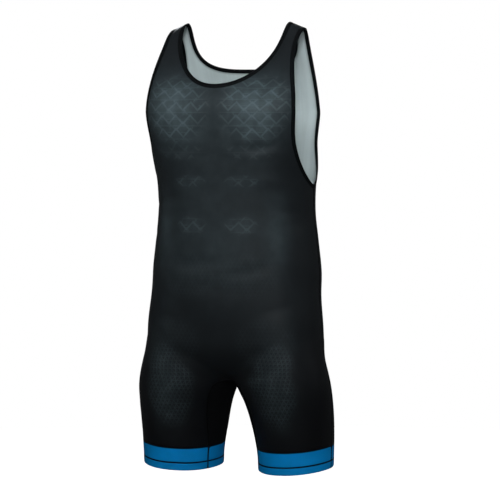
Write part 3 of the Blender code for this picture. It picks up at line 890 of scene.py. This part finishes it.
def oval(u, v, middle, height, reach, rise):
    """Squared distance from an oval's middle, 1 at its rim, alike on both sides of the garment."""
    across = (u.fold() - middle) * (1 / reach)
    along = (v - height) * (1 / rise)
    return across * across + along * along


def patches(u, v, rows):
    """Soft patches on the flat cloth."""
    total = None
    for *place, strength in rows:
        spot = (1 - oval(u, v, *place)).step(0.0, 0.6) * strength
        total = spot if total is None else total.most(spot)
    return total


def clouds(u, v, rows):
    """Lighter clouds on the flat cloth that die away: partly print tone, partly painted sheen highlights.
    """
    total = None
    for *place, strength in rows:
        cloud = oval(u, v, *place).fade(1.6) * strength
        total = cloud if total is None else total + cloud
    return total


def triangles(u, v, base, height, line):
    """Rows of outlined triangles with soft middles, each row set half a triangle over."""
    row = (v / height).floor()
    up = (v / height).part()
    over = (row * 0.5).part()
    across = (u / base + over).part()
    side = ((across - 0.5).fold() * 2 - (1 - up)).fold()
    outline = 1 - side.step(line * 0.5, line * 1.3)
    foot = 1 - up.step(line * 0.4, line * 1.1)
    inside = (1 - up - (across - 0.5).fold() * 2).step(0.0, 0.05) * (0.30 - up * 0.25)
    return outline.most(foot).most(inside)


def chevrons(u, v, base, height):
    """Rows of open chevrons, each row over a level line."""
    up = (v / height).part()
    slope = ((u / base).part() - 0.5).fold() * 2
    arm = CHEVRON_PEAK - slope * CHEVRON_DROP
    bend = (up - arm).fold() * (height * 0.70)
    level = (up - 0.06).fold() * height
    below = (arm - up).step(0.0, 0.05) * 0.16
    return (1 - bend.step(0.0008, 0.0026)).most((1 - level.step(0.0006, 0.0020)) * 0.6).most(below)


def shaded(colour, share):
    """A darker tone of a colour, with its alpha."""
    return (*[part * share for part in colour], 1)


def printed_cloth(name, face, colour, print_and_painted_light_colour):
    """Smooth stretch knit with a faint tonal print of chevrons and triangles, lightened in soft clouds that
    are partly painted sheen highlights, and painted lighter from the legs up as light falling from above.
    """
    cloth = cloth_surface(name, 0.50, 14.0, 0.12)
    u, v, seam = cloth.u, cloth.v, cloth.seam
    marks = PATCHES[face]
    drift = cloth.mottle.step(0.30, 0.72)
    blot = cloth.body.node("ShaderNodeTexNoise", i0=cloth.body, Scale=46.0, Detail=2.0, Roughness=0.5)
    worn = blot.step(0.30, 0.70) * 0.5 + 0.5
    crossed = chevrons(u + CHEVRON_BASE / 2, v + CHEVRON_ROW / 2, CHEVRON_BASE, CHEVRON_ROW)
    crossed = crossed * (blot.step(0.40, 0.56) * 0.8)
    coarse = chevrons(u, v, CHEVRON_BASE, CHEVRON_ROW).most(crossed)
    coarse = coarse * patches(u, v, marks["large"]) * worn
    fine = triangles(u, v, TRIANGLE_BASE, TRIANGLE_ROW, TRIANGLE_LINE)
    fine = fine * patches(u, v, marks["small"]) * worn
    # Lighter clouds of tone: partly the print's own, partly painted sheen highlights on the chest, flanks
    # and thighs.
    light = clouds(u, v, marks["light"]) * (drift * 0.30 + 0.85) * (blot.step(0.3, 0.7) * 0.3 + 0.82)
    # The step in v paints the cloth lighter from the lower legs up to the belly: painted light falling from
    # above.
    tone = light + coarse * 0.54 + fine * 0.42 + v.step(-0.80, -0.45) * 0.085 + drift * 0.02
    base = (tone * PRINT_AND_PAINTED_LIGHT_STRENGTH).tint((*colour, 1), (*print_and_painted_light_colour, 1))
    base = (1 - seam.step(0.0006, 0.0030)).tint(base, shaded(colour, 0.30))
    surface = knit(u, v, WALE, COURSE) * 0.16 + seam.step(0.0, 0.0022) + cloth.mottle * 0.35
    rough = 0.46 + drift * 0.08 + coarse * 0.04
    finish_surface(cloth.shader, base, surface, WEAVE_RELIEF, rough)
    cloth.shader.inputs["Sheen Weight"].default_value = 0.01
    cloth.shader.inputs["Sheen Roughness"].default_value = 0.5
    return cloth.material


def reverse_cloth(name, colour):
    """The unprinted back of the knit, pale with soft upright streaks."""
    cloth = cloth_surface(name, 0.85, 9.0, 0.25)
    u, v, mottle = cloth.u, cloth.v, cloth.mottle
    streak = u.node("ShaderNodeCombineXYZ", i0=u * 70, i1=v * 5)
    streak = u.node("ShaderNodeTexNoise", i0=streak, Scale=1.0, Detail=3.0, Roughness=0.6)
    tone = streak.step(0.25, 0.75) * 0.55 + mottle.step(0.3, 0.7) * 0.45
    base = tone.tint(shaded(colour, 0.80), (*colour, 1))
    base = (1 - cloth.seam.step(0.0015, 0.0060)).tint(base, shaded(colour, 0.55))
    surface = knit(u, v, WALE, COURSE) * 0.3 + mottle * 0.3 + streak * 0.25
    finish_surface(cloth.shader, base, surface, WEAVE_RELIEF)
    return cloth.material


def plain_cloth(name, colour, roughness, level, dark, grain=20.0, hem=None):
    """Matte single-colour knit, darker in its seams, and darker along a hem's sewn line, partly in the
    thread's colour and partly as painted shade in the stitched groove.
    """
    cloth = cloth_surface(name, roughness, grain, level)
    u, v, seam, mottle = cloth.u, cloth.v, cloth.seam, cloth.mottle
    base = mottle.step(0.25, 0.75).tint(shaded(colour, 0.82), (*colour, 1))
    base = (1 - seam.step(0.0011, 0.0026)).tint(base, (*dark, 1))
    surface = knit(u, v, PLAIN_WALE, PLAIN_COURSE) * 0.22 + seam.step(0.0, 0.0020) + mottle * 0.3
    if hem is not None:
        # A dark line where the hem is sewn: partly the navy of its thread, partly painted shade in the
        # stitched groove.
        sewn_line = (v - hem).fold().step(0.0010, 0.0020)
        base = (1 - sewn_line).tint(base, (*dark, 1))
        surface = surface + sewn_line * 0.8
    finish_surface(cloth.shader, base, surface, WEAVE_RELIEF)
    return cloth.material


def band_reverse(name, colour, reverse):
    """Inside of a leg band: pale knit above the turned-up hem, which shows its face."""
    cloth = cloth_surface(name, 0.75, 12.0, 0.3)
    turn = BAND_HEIGHT - HEM_TURN
    turned = cloth.v.step(turn - 0.0003, turn + 0.0003)
    pale = cloth.mottle.step(0.3, 0.7).tint(shaded(reverse, 0.85), (*reverse, 1))
    base = turned.tint(pale, (*colour, 1))
    surface = knit(cloth.u, cloth.v, PLAIN_WALE, PLAIN_COURSE) * 0.25 + cloth.mottle * 0.3
    finish_surface(cloth.shader, base, surface, WEAVE_RELIEF)
    return cloth.material


def tape_surface(name, colour):
    """Folded elastic tape with fine ribs across it."""
    cloth = cloth_surface(name, 0.70, 60.0, 0.10)
    rib = cloth.u.wave(0.0012) * 0.5 + 0.5
    cord = cloth.v.wave(0.0016) * 0.25
    # Darker in the troughs between the ribs, as painted shade, and darker at random with the mottle.
    base = (rib * 0.5 + cloth.mottle * 0.5).tint(shaded(colour, 0.6), (*colour, 1))
    finish_surface(cloth.shader, base, rib * 0.5 + cord + cloth.mottle * 0.2, 0.00025)
    return cloth.material


def thread_surface(name, colour):
    """Twisted polyester sewing thread."""
    cloth = cloth_surface(name, 0.60, 900.0, 0.15)
    base = cloth.mottle.step(0.3, 0.7).tint(shaded(colour, 0.6), (*colour, 1))
    finish_surface(cloth.shader, base, cloth.mottle, 0.0001)
    return cloth.material


def wire(tree, *links):
    """Link an output to an input for each pair, both given as a node and its socket."""
    for (source, output), (target, place) in links:
        tree.links.new(source.outputs[output], target.inputs[place])


def tree_start(name, sizes):
    """A geometry tree with named size inputs and a material, opened on a line of edges."""
    tree = bpy.data.node_groups.new(name, "GeometryNodeTree")
    face = tree.interface
    face.new_socket("Geometry", in_out="INPUT", socket_type="NodeSocketGeometry")
    for size, value in sizes:
        socket = face.new_socket(size, in_out="INPUT", socket_type="NodeSocketFloat")
        socket.default_value = value
        socket.subtype = "DISTANCE"
    face.new_socket("Material", in_out="INPUT", socket_type="NodeSocketMaterial")
    face.new_socket("Geometry", in_out="OUTPUT", socket_type="NodeSocketGeometry")
    opened = tree.nodes.new("NodeGroupInput")
    line = tree.nodes.new("GeometryNodeMeshToCurve")
    tree.links.new(opened.outputs["Geometry"], line.inputs[0])
    return tree, opened, line


def tree_end(tree, opened, last):
    """Shade, realize and give the material to the last node's geometry, then close the tree."""
    smooth = tree.nodes.new("GeometryNodeSetShadeSmooth")
    real = tree.nodes.new("GeometryNodeRealizeInstances")
    finish = tree.nodes.new("GeometryNodeSetMaterial")
    closed = tree.nodes.new("NodeGroupOutput")
    wire(tree, ((last, 0), (smooth, 0)), ((smooth, 0), (real, 0)), ((real, 0), (finish, 0)),
         ((opened, "Material"), (finish, "Material")), ((finish, 0), (closed, 0)))


def stitch_row_tree():
    """Single stitches set end to end along each line."""
    sizes = (("Pitch", 0.003), ("Length", 0.0026), ("Thread", 0.0003))
    tree, opened, line = tree_start("stitch row", sizes)
    points = tree.nodes.new("GeometryNodeCurveToPoints")
    points.mode = "LENGTH"
    stitch = tree.nodes.new("GeometryNodeMeshUVSphere")
    stitch.inputs["Segments"].default_value = 6
    stitch.inputs["Rings"].default_value = 5
    stitch.inputs["Radius"].default_value = 1.0
    half = tree.nodes.new("ShaderNodeMath")
    half.operation = "MULTIPLY"
    half.inputs[1].default_value = 0.5
    size = tree.nodes.new("ShaderNodeCombineXYZ")
    spread = tree.nodes.new("GeometryNodeInstanceOnPoints")
    wire(tree, ((line, 0), (points, "Curve")), ((opened, "Pitch"), (points, "Length")),
         ((opened, "Length"), (half, 0)), ((opened, "Thread"), (size, 0)),
         ((opened, "Thread"), (size, 1)), ((half, 0), (size, 2)),
         ((points, "Points"), (spread, "Points")), ((points, "Rotation"), (spread, "Rotation")),
         ((stitch, "Mesh"), (spread, "Instance")), ((size, 0), (spread, "Scale")))
    tree_end(tree, opened, spread)
    return tree


def thread_line_tree():
    """A thread that follows each line."""
    tree, opened, line = tree_start("thread line", (("Thread", 0.0003),))
    section = tree.nodes.new("GeometryNodeCurvePrimitiveCircle")
    section.inputs["Resolution"].default_value = 5
    sweep = tree.nodes.new("GeometryNodeCurveToMesh")
    sweep.inputs["Fill Caps"].default_value = True
    wire(tree, ((opened, "Thread"), (section, "Radius")), ((line, 0), (sweep, "Curve")),
         ((section, 0), (sweep, "Profile Curve")))
    tree_end(tree, opened, sweep)
    return tree


def lift_line(line, across, rise, closed=False):
    """A line moved over the cloth to one side and up off it."""
    points = line[:, :3]
    normals = line[:, 3:]
    if closed:
        along = np.roll(points, -1, axis=0) - np.roll(points, 1, axis=0)
    else:
        along = np.gradient(points, axis=0)
    side = unit(np.cross(normals, along))
    return points + side * across + normals * rise


def zigzag(line, reach, rise, pitch):
    """A line that crosses a seam from side to side."""
    count = max(2, int(run_lengths(line)[-1] / pitch))
    line = even_steps(line, count)
    line[:, 3:] = unit(line[:, 3:])
    left = lift_line(line, reach, rise)
    right = lift_line(line, -reach, rise)
    swap = (np.arange(len(line)) % 2 == 0)[:, None]
    return np.where(swap, left, right)


def beside(paths, reach, rises):
    """Open rows on both sides of each path, at each rise off the cloth."""
    return [(lift_line(path, across, rise), False)
            for rise in rises for path in paths for across in (-reach, reach)]


def crossing(paths, reach, rises, pitch):
    """Open zigzags over each path, at each rise off the cloth."""
    return [(zigzag(path, reach, rise, pitch), False) for path in paths for rise in rises]


def sewn(name, tree, sizes, material, lines, slot="binding_tape"):
    """Run a geometry tree along lines and keep the result as one plain mesh."""
    vertices = []
    edges = []
    for points, closed in lines:
        first = len(vertices)
        count = len(points)
        vertices += points.tolist()
        edges += [(first + place, first + place + 1) for place in range(count - 1)]
        if closed:
            edges.append((first + count - 1, first))
    guide = bpy.data.meshes.new(name + "_guide")
    guide.from_pydata(vertices, edges, [])
    shape = placed(name, guide)
    maker = shape.modifiers.new("Sewing", "NODES")
    maker.node_group = tree
    values = dict(sizes, Material=material)
    for socket in tree.interface.items_tree:
        if socket.in_out == "INPUT" and socket.name in values:
            maker[socket.identifier] = values[socket.name]
    shape.update_tag()
    seen = shape.evaluated_get(bpy.context.evaluated_depsgraph_get())
    made = bpy.data.meshes.new_from_object(seen)
    shape.modifiers.remove(maker)
    shape.data = made
    bpy.data.meshes.remove(guide)
    if not made.polygons:
        raise RuntimeError(f"{name} came out empty")
    return finish_piece(shape, slot)


def a_length(name, about, value, least, most):
    """A length for the sidebar, between two limits."""
    return FloatProperty(name=name, description=about, default=value, min=least, max=most, unit="LENGTH")


def a_colour(name, about, value):
    """A colour for the sidebar."""
    return FloatVectorProperty(name=name, description=about, size=3, subtype="COLOR", default=value,
                               min=0, max=1)


class SingletCloth(bpy.types.PropertyGroup):
    """Thickness and colours of the cloth."""
    wall: a_length("Cloth", "Thickness of the knit", 0.0012, 0.0005, 0.003)
    body: a_colour("Body", "Colour of the panels", (0.0044, 0.0043, 0.0053))
    # The print colour is also what the painted sheen highlights and the painted light from above tint
    # towards.
    printed: a_colour("Print", "Colour of the tonal print", (0.080, 0.107, 0.115))
    reverse: a_colour("Reverse", "Colour of the cloth's back", (0.60, 0.665, 0.655))
    gusset: a_colour("Gusset", "Colour of the gusset", (0.0035, 0.0035, 0.0042))
    band: a_colour("Leg band", "Colour of the leg bands", (0.0010, 0.300, 0.750))


class SingletTrim(bpy.types.PropertyGroup):
    """Sizes and colours of the bindings and the stitching."""
    width: a_length("Binding", "Width of the folded tape", 0.0068, 0.004, 0.015)
    lap: a_length("Lap", "How far the tape lies over the cloth", 0.0012, 0, 0.004)
    thick: a_length("Thickness", "Thickness of the folded tape", 0.0026, 0.001, 0.004)
    corners: IntProperty(name="Corners", description="Corners round a section of tape", default=20,
                         min=8, max=32)
    pitch: a_length("Pitch", "Distance from stitch to stitch", 0.0031, 0.002, 0.006)
    thread: a_length("Thread", "Radius of the sewing thread", 0.00028, 0.0001, 0.0006)
    tape: a_colour("Tape", "Colour of the bindings", (0.0022, 0.0030, 0.0034))
    dark: a_colour("Body thread", "Colour of the body's thread", (0.0035, 0.0040, 0.0045))
    navy: a_colour("Hem thread", "Colour of the leg bands' thread", (0.0010, 0.0060, 0.0180))


class SingletStage(bpy.types.PropertyGroup):
    """Floor, lights and camera."""
    floor: FloatProperty(name="Floor", description="Height of the floor", default=-1.30, unit="LENGTH")
    distance: FloatProperty(name="Distance", description="Camera to garment", default=4.5, min=1,
                            max=20, unit="LENGTH")
    azimuth: FloatProperty(name="Azimuth", description="Turn of the camera round the garment",
                           default=math.radians(20), subtype="ANGLE")
    pitch: FloatProperty(name="Pitch", description="Camera's downward tilt", default=math.radians(3.03),
                         subtype="ANGLE")
    pan: FloatProperty(name="Pan", description="Camera's turn off the garment's axis",
                       default=math.radians(-0.27), subtype="ANGLE")
    lens: FloatProperty(name="Lens", description="Focal length in millimetres", default=167.8, min=10,
                        max=400)


class GARMENT_OT_panels(bpy.types.Operator):
    """Front and back panel, each one piece from shoulder to leg band"""
    bl_idname = "garment.panels"
    bl_label = "Front and back"

    def execute(self, context):
        sizes = context.scene.singlet_cloth
        form = garment_form()
        reverse = reverse_cloth("cloth_reverse", tuple(sizes.reverse))
        for face, node in ((FRONT, "front_panel"), (BACK, "back_panel")):
            side = "front" if face == FRONT else "back"
            outside = printed_cloth(f"printed_cloth_{side}", face, tuple(sizes.body),
                                    tuple(sizes.printed))
            grid, flat = form["panel"][face]
            rows, count = grid.shape[:2]
            cells = grid_cells(rows, count)
            cells = cells if face == FRONT else cells[:, ::-1]
            seams = [grid[:, -1], grid[-1], grid[0], grid[:SEAM_ROWS + 1, 0],
                     grid[SEAM_ROWS + BODY_ROWS:, 0]]
            points = grid.reshape(-1, 3)
            gap = nearest(points, np.concatenate([even_steps(line, 400) for line in seams]))
            half = points.copy()
            normals = cell_normals(half, cells)
            normals[np.abs(half[:, 0]) < 1e-6, 0] = 0
            bumps = [crease(half, face), crease(mirrored(half), face)]
            fade = eased(gap / CREASE_FADE)
            both, corners, flats = whole(half, cells, flat.reshape(-1, 2))
            left = half + unit(normals) * (bumps[0] * fade)[:, None]
            right = mirrored(half + unit(normals) * (bumps[1] * fade)[:, None])
            found = place_of(both, half)
            on_left = both[:, 0] > -1e-6
            moved = np.where(on_left[:, None], left[found], right[found])
            middle = np.abs(both[:, 0]) < 1e-6
            moved[middle, 0] = 0
            shape = shell(node + "_cloth", moved, corners, flats, sizes.wall / 2, sizes.wall / 2,
                          gap[found], [outside, reverse])
            finish_piece(shape, "body_cloth", node)
        return {"FINISHED"}


def place_of(both, half):
    """For each point of a whole piece, the number of the point of its half that it came from."""
    keys = {tuple(np.round(point, 7)): place for place, point in enumerate(half)}
    folded = both.copy()
    folded[:, 0] = np.abs(folded[:, 0])
    signed = [tuple(np.round(point, 7)) for point in folded]
    return np.array([keys[key] for key in signed])


class GARMENT_OT_gusset(bpy.types.Operator):
    """Crotch gusset, from the front seam under the crotch to the back seam"""
    bl_idname = "garment.gusset"
    bl_label = "Gusset"

    def execute(self, context):
        sizes = context.scene.singlet_cloth
        grid = garment_form()["gusset"]
        rows, count = grid.shape[:2]
        dark = tuple(part * 0.4 for part in sizes.gusset)
        outside = plain_cloth("gusset_knit", tuple(sizes.gusset), 0.80, 0.10, dark)
        steps = np.linalg.norm(np.diff(grid, axis=1), axis=-1)
        u = np.cumsum(np.concatenate([grid[:, :1, 0] * 0, steps], axis=1), axis=1)
        flat = np.stack([u, grid[..., 2]], axis=-1).reshape(-1, 2)
        points = grid.reshape(-1, 3)
        cells = grid_cells(rows, count)
        edges = [even_steps(line, 300) for line in (grid[:, 0], grid[:, -1], grid[0])]
        gap = nearest(points, np.concatenate(edges))
        both, corners, flats = whole(points, cells, flat)
        leg = read(LEG, "centre", GUSSET_LEG_MIDDLE) * np.sign(both[:, 0])
        centre = np.array([leg, both[:, 1] * 0, both[:, 2]]).T
        normals = cell_normals(both, corners)
        low = both[:, 2] < GUSSET_LEG_TOP
        corners = facing_out(corners, normals[low], both[low] - centre[low])
        found = place_of(both, points)
        shape = shell("crotch_gusset_cloth", both, corners, flats, sizes.wall / 2, sizes.wall / 2,
                      gap[found], [outside])
        finish_piece(shape, "gusset_cloth", "crotch_gusset")
        return {"FINISHED"}


class GARMENT_OT_bands(bpy.types.Operator):
    """Leg bands, each with its hem turned up inside"""
    bl_idname = "garment.bands"
    bl_label = "Leg bands"

    def execute(self, context):
        sizes = context.scene.singlet_cloth
        band = garment_form()["band"]
        rows, count = band.shape[:2]
        navy = tuple(context.scene.singlet_trim.navy)
        outside = plain_cloth("band_knit", tuple(sizes.band), 0.60, 0.10, navy, 16.0, HEM_LINE)
        inside = band_reverse("band_reverse", tuple(sizes.band), tuple(sizes.reverse))
        drops = np.array(BAND_DROPS)
        turned = eased((drops - (BAND_HEIGHT - HEM_TURN)) / HEM_EDGE)
        roll = np.clip((drops - (BAND_HEIGHT - ROLL_START)) / ROLL_SPAN, 0, 1)
        rolled = np.sqrt(np.clip(1 - roll ** 2, ROLL_LEAST, 1))
        sink = HEM_SINK * np.exp(-((drops - (BAND_HEIGHT - HEM_TURN)) / HEM_SINK_REACH) ** 2)
        out_wall = (sizes.wall / 2 + HEM_SWELL * turned - sink) * rolled
        in_wall = (sizes.wall / 2 + HEM_EXTRA * turned) * rolled
        lengths = np.linalg.norm(np.diff(band, axis=1, append=band[:, :1]), axis=-1)
        u = np.concatenate([np.zeros((rows, 1)), np.cumsum(lengths, axis=1)[:, :-1]], axis=1)
        v = np.broadcast_to(drops[:, None], (rows, count))
        flat = np.stack([u, v], axis=-1).reshape(-1, 2)
        seams = [even_steps(band[:, place], 60) for place in (0, PANEL_CELLS, 2 * PANEL_CELLS)]
        # The top ring counts as a seam too, so the band is also darker along its top edge: painted shadow
        # where it meets the panel.
        gap = nearest(band.reshape(-1, 3), np.concatenate(seams + [even_steps(band[0], 600)]))
        for side, way in (("left", 1), ("right", -1)):
            points = (band if way == 1 else mirrored(band)).reshape(-1, 3)
            cells = grid_cells(rows, count, True)
            centre = points.mean(axis=0)
            normals = cell_normals(points, cells)
            cells = facing_out(cells, normals[:, :2], (points - centre)[:, :2])
            shape = shell(f"leg_band_{side}_cloth", points, cells, flat, np.repeat(out_wall, count),
                          np.repeat(in_wall, count), gap, [outside, inside])
            finish_piece(shape, "band_cloth", f"leg_band_{side}")
        return {"FINISHED"}


class GARMENT_OT_bindings(bpy.types.Operator):
    """Folded tape round the neck and both armholes"""
    bl_idname = "garment.bindings"
    bl_label = "Bindings"

    def execute(self, context):
        sizes = context.scene.singlet_trim
        material = tape_surface("elastic_tape", tuple(sizes.tape))
        arm = armhole_edge()
        rings = (("neck_binding", neck_edge()), ("armhole_binding_left", arm),
                 ("armhole_binding_right", mirror_line(arm)))
        angles = np.linspace(0, 2 * np.pi, sizes.corners, endpoint=False)
        reach = (sizes.width + sizes.lap) / 2 * (1 + bent(np.cos(angles), 0.45)) - sizes.lap
        height = sizes.thick / 2 * bent(np.sin(angles), 0.5)
        for node, edge in rings:
            outward, level = binding_frames(edge)
            grid = edge[:, None, :3] + reach[:, None] * outward[:, None] + height[:, None] * level[:, None]
            self.tape(node, grid, angles, sizes, material)
        return {"FINISHED"}

    def tape(self, node, grid, angles, sizes, material):
        """One closed length of tape as a mesh with its flat place."""
        count, corners = grid.shape[:2]
        points = grid.reshape(-1, 3)
        cells = grid_cells(count + 1, corners, True) % len(points)
        spokes = (grid - grid.mean(axis=1, keepdims=True)).reshape(-1, 3)
        cells = facing_out(cells, cell_normals(points, cells), spokes)
        middle = grid.mean(axis=1)
        along = run_lengths(np.concatenate([middle, middle[:1]]))
        flats = np.zeros((len(cells), 4, 2))
        place = cells // corners
        wrap = (place.max(axis=1) - place.min(axis=1) > 1)[:, None] & (place == 0)
        flats[..., 0] = np.where(wrap, along[-1], along[place])
        flats[..., 1] = np.cos(angles)[cells % corners] * sizes.width / 2
        name = node + "_tape"
        mesh = cloth_mesh(name, points, cells, flats, np.full(len(points), TAPE_GAP), [material])
        finish_piece(placed(name, mesh), "binding_tape", node)


class GARMENT_OT_stitching(bpy.types.Operator):
    """Flat seams, hem rows and binding rows in thread"""
    bl_idname = "garment.stitching"
    bl_label = "Stitching"

    def execute(self, context):
        trim = context.scene.singlet_trim
        wall = context.scene.singlet_cloth.wall
        dark = thread_surface("body_thread", tuple(trim.dark))
        navy = thread_surface("hem_thread", tuple(trim.navy))
        row = stitch_row_tree()
        line = thread_line_tree()
        stitch = {"Pitch": trim.pitch, "Length": trim.pitch * STITCH_SHARE, "Thread": trim.thread}
        thread = {"Thread": trim.thread * COVER_SHARE}
        rise = wall / 2 + trim.thread * 0.5
        lines = seam_lines()
        body = lines["side"] + lines["gusset"] + lines["shoulder"]
        both = (rise, -rise)
        sewn("seam_rows", row, stitch, dark, beside(body, SEAM_STITCH, both))
        sewn("seam_covers", line, thread, dark, crossing(body, SEAM_STITCH, both, COVER_PITCH))
        strong = dict(stitch, Thread=trim.thread * HEM_THREAD_SHARE)
        sewn("hem_rows", row, strong, navy, self.hem_rows(rise))
        band = [path[:-1] for path in lines["band"]]
        sewn("band_seam_rows", row, stitch, navy, beside(band, BAND_STITCH, [rise]))
        sewn("band_seam_covers", line, thread, navy, crossing(band, BAND_STITCH, [rise], BAND_COVER_PITCH))
        sewn("binding_rows", row, stitch, dark, self.binding_rows(trim))
        self.state_cuts()
        return {"FINISHED"}

    def state_cuts(self):
        """Does nothing."""

    def hem_rows(self, rise):
        """Two rings of stitches above each leg opening."""
        band = garment_form()["band"]
        normals = band_normals(band)
        rings = []
        for drop in HEM_STITCH_DROPS:
            place = BAND_DROPS.index(drop)
            ring = np.concatenate([band[place], normals[place]], axis=1)
            for path in (ring, mirror_line(ring)):
                rings.append((lift_line(path, 0.0, rise - HEM_SINK * 0.5, True), True))
        return rings

    def binding_rows(self, trim):
        """A ring of stitches on both faces of each binding, near the cloth."""
        arm = armhole_edge()
        rings = []
        for edge in (neck_edge(), arm, mirror_line(arm)):
            outward, level = binding_frames(edge)
            for way in (1, -1):
                rise = level * way * (trim.thick / 2 - trim.thread * 0.2)
                rings.append((edge[:, :3] + outward * BINDING_STITCH + rise, True))
        return rings


# The studio. Each light: name, place, power, width, the height it is aimed at, spread in degrees.
LIGHTS = (
    ("front_key", (1.25, -3.3, 1.15), 4.4, 1.0, -0.18, 34),
    ("left_key", (-1.5, -2.6, 0.95), 1.0, 0.9, -0.15, 30),
    ("low_fill", (0.9, -3.4, -0.6), 1.6, 1.6, -0.50, 120),
    ("top", (0.0, 0.3, 2.4), 4.0, 2.4, -0.40, 120),
    ("back_key", (-1.5, 3.0, 1.1), 5.0, 1.2, -0.30, 60),
    ("side_key", (3.2, 0.6, 0.8), 1.5, 1.2, -0.40, 60),
)
LIGHT_COLOUR = (0.90, 0.96, 1.0)
ROOM_COLOUR = (0.95, 0.98, 1.0, 1)
ROOM_STRENGTH = 0.05
FLOOR_RADIUS = 4.0
FLOOR_SIDES = 96
CAMERA_HEIGHT = -0.20


class GARMENT_OT_stage(bpy.types.Operator):
    """Pale floor, soft lights and the camera"""
    bl_idname = "garment.stage"
    bl_label = "Studio"

    def execute(self, context):
        scene = context.scene
        sizes = scene.singlet_stage
        scene.view_settings.view_transform = "Standard"
        self.surroundings(scene)
        self.floor(sizes)
        for lamp in LIGHTS:
            self.light(*lamp)
        self.camera(scene, sizes)
        return {"FINISHED"}

    def surroundings(self, scene):
        """Even white to the eye, and a dim grey room to the cloth."""
        world = bpy.data.worlds.new("studio")
        scene.world = world
        world.use_nodes = True
        tree = world.node_tree
        tree.nodes.clear()
        path = tree.nodes.new("ShaderNodeLightPath")
        seen = tree.nodes.new("ShaderNodeBackground")
        felt = tree.nodes.new("ShaderNodeBackground")
        mix = tree.nodes.new("ShaderNodeMixShader")
        out = tree.nodes.new("ShaderNodeOutputWorld")
        seen.inputs["Color"].default_value = (1, 1, 1, 1)
        felt.inputs["Color"].default_value = ROOM_COLOUR
        felt.inputs["Strength"].default_value = ROOM_STRENGTH
        wire(tree, ((path, "Is Camera Ray"), (mix, 0)), ((felt, 0), (mix, 1)), ((seen, 0), (mix, 2)),
             ((mix, 0), (out, 0)))

    def floor(self, sizes):
        """A round pale floor below the garment that glows with painted light, dimmer near its middle and
        brighter outwards, so that it melts into the white room.
        """
        mesh = bpy.data.meshes.new("floor")
        angles = np.linspace(0, 2 * np.pi, FLOOR_SIDES, endpoint=False)
        ring = [(FLOOR_RADIUS * math.cos(turn), FLOOR_RADIUS * math.sin(turn), sizes.floor)
                for turn in angles]
        mesh.from_pydata(ring, [], [tuple(range(FLOOR_SIDES))])
        material = bpy.data.materials.new("pale_floor")
        material.use_nodes = True
        shader = material.node_tree.nodes["Principled BSDF"]
        shader.inputs["Base Color"].default_value = (0.93, 0.93, 0.93, 1)
        shader.inputs["Roughness"].default_value = 0.9
        start = Shade(material.node_tree, None)
        body = start.node("ShaderNodeTexCoord", output=3)
        far = body.node("ShaderNodeVectorMath", {"operation": "LENGTH"}, 1, i0=body)
        glow = far.step(1.5, 2.8).tint((0.55, 0.55, 0.55, 1), (1.05, 1.05, 1.05, 1))
        material.node_tree.links.new(glow.socket, shader.inputs["Emission Color"])
        shader.inputs["Emission Strength"].default_value = 1.0
        mesh.materials.append(material)
        shape = placed("floor", mesh)
        shape.visible_diffuse = False
        shape.visible_glossy = False

    def light(self, name, place, power, width, height, spread):
        """A soft square panel of cool light aimed at a height of the garment."""
        data = bpy.data.lights.new(name, "AREA")
        data.shape = "SQUARE"
        data.size = width
        data.energy = power
        data.spread = math.radians(spread)
        data.color = LIGHT_COLOUR
        lamp = placed(name, data)
        lamp.location = place
        aim = Vector((0, 0, height)) - Vector(place)
        lamp.rotation_euler = aim.to_track_quat("-Z", "Y").to_euler()

    def camera(self, scene, sizes):
        """A long lens in front, a little to the wearer's left."""
        data = bpy.data.cameras.new("camera")
        data.lens = sizes.lens
        data.sensor_width = 36
        camera = placed("camera", data)
        camera.location = (sizes.distance * math.sin(sizes.azimuth),
                           -sizes.distance * math.cos(sizes.azimuth), CAMERA_HEIGHT)
        camera.rotation_euler = (math.pi / 2 - sizes.pitch, 0, sizes.azimuth + sizes.pan)
        scene.camera = camera


STEPS = ("panels", "gusset", "bands", "bindings", "stitching", "stage")


class GARMENT_PT_singlet(bpy.types.Panel):
    """Steps of the singlet in the sidebar"""
    bl_label = "Wrestling singlet"
    bl_idname = "GARMENT_PT_singlet"
    bl_space_type = "VIEW_3D"
    bl_region_type = "UI"
    bl_category = "Singlet"

    def draw(self, context):
        for group in (context.scene.singlet_cloth, context.scene.singlet_trim, context.scene.singlet_stage):
            box = self.layout.box()
            for name in group.bl_rna.properties.keys():
                if name not in ("rna_type", "name"):
                    box.prop(group, name)
        for step in STEPS:
            self.layout.operator(f"garment.{step}")


GROUPS = (("singlet_cloth", SingletCloth), ("singlet_trim", SingletTrim), ("singlet_stage", SingletStage))
CLASSES = (GARMENT_OT_panels, GARMENT_OT_gusset, GARMENT_OT_bands, GARMENT_OT_bindings,
           GARMENT_OT_stitching, GARMENT_OT_stage, GARMENT_PT_singlet)


def register():
    """Add the properties, the steps and the sidebar."""
    for name, group in GROUPS:
        bpy.utils.register_class(group)
        setattr(bpy.types.Scene, name, PointerProperty(type=group))
    for kind in CLASSES:
        bpy.utils.register_class(kind)


def unregister():
    """Take them away again."""
    for kind in reversed(CLASSES):
        bpy.utils.unregister_class(kind)
    for name, group in reversed(GROUPS):
        delattr(bpy.types.Scene, name)
        bpy.utils.unregister_class(group)


def main():
    """Build the dressed garment and its studio."""
    register()
    for step in STEPS:
        getattr(bpy.ops.garment, step)()


if __name__ == "__main__":
    main()
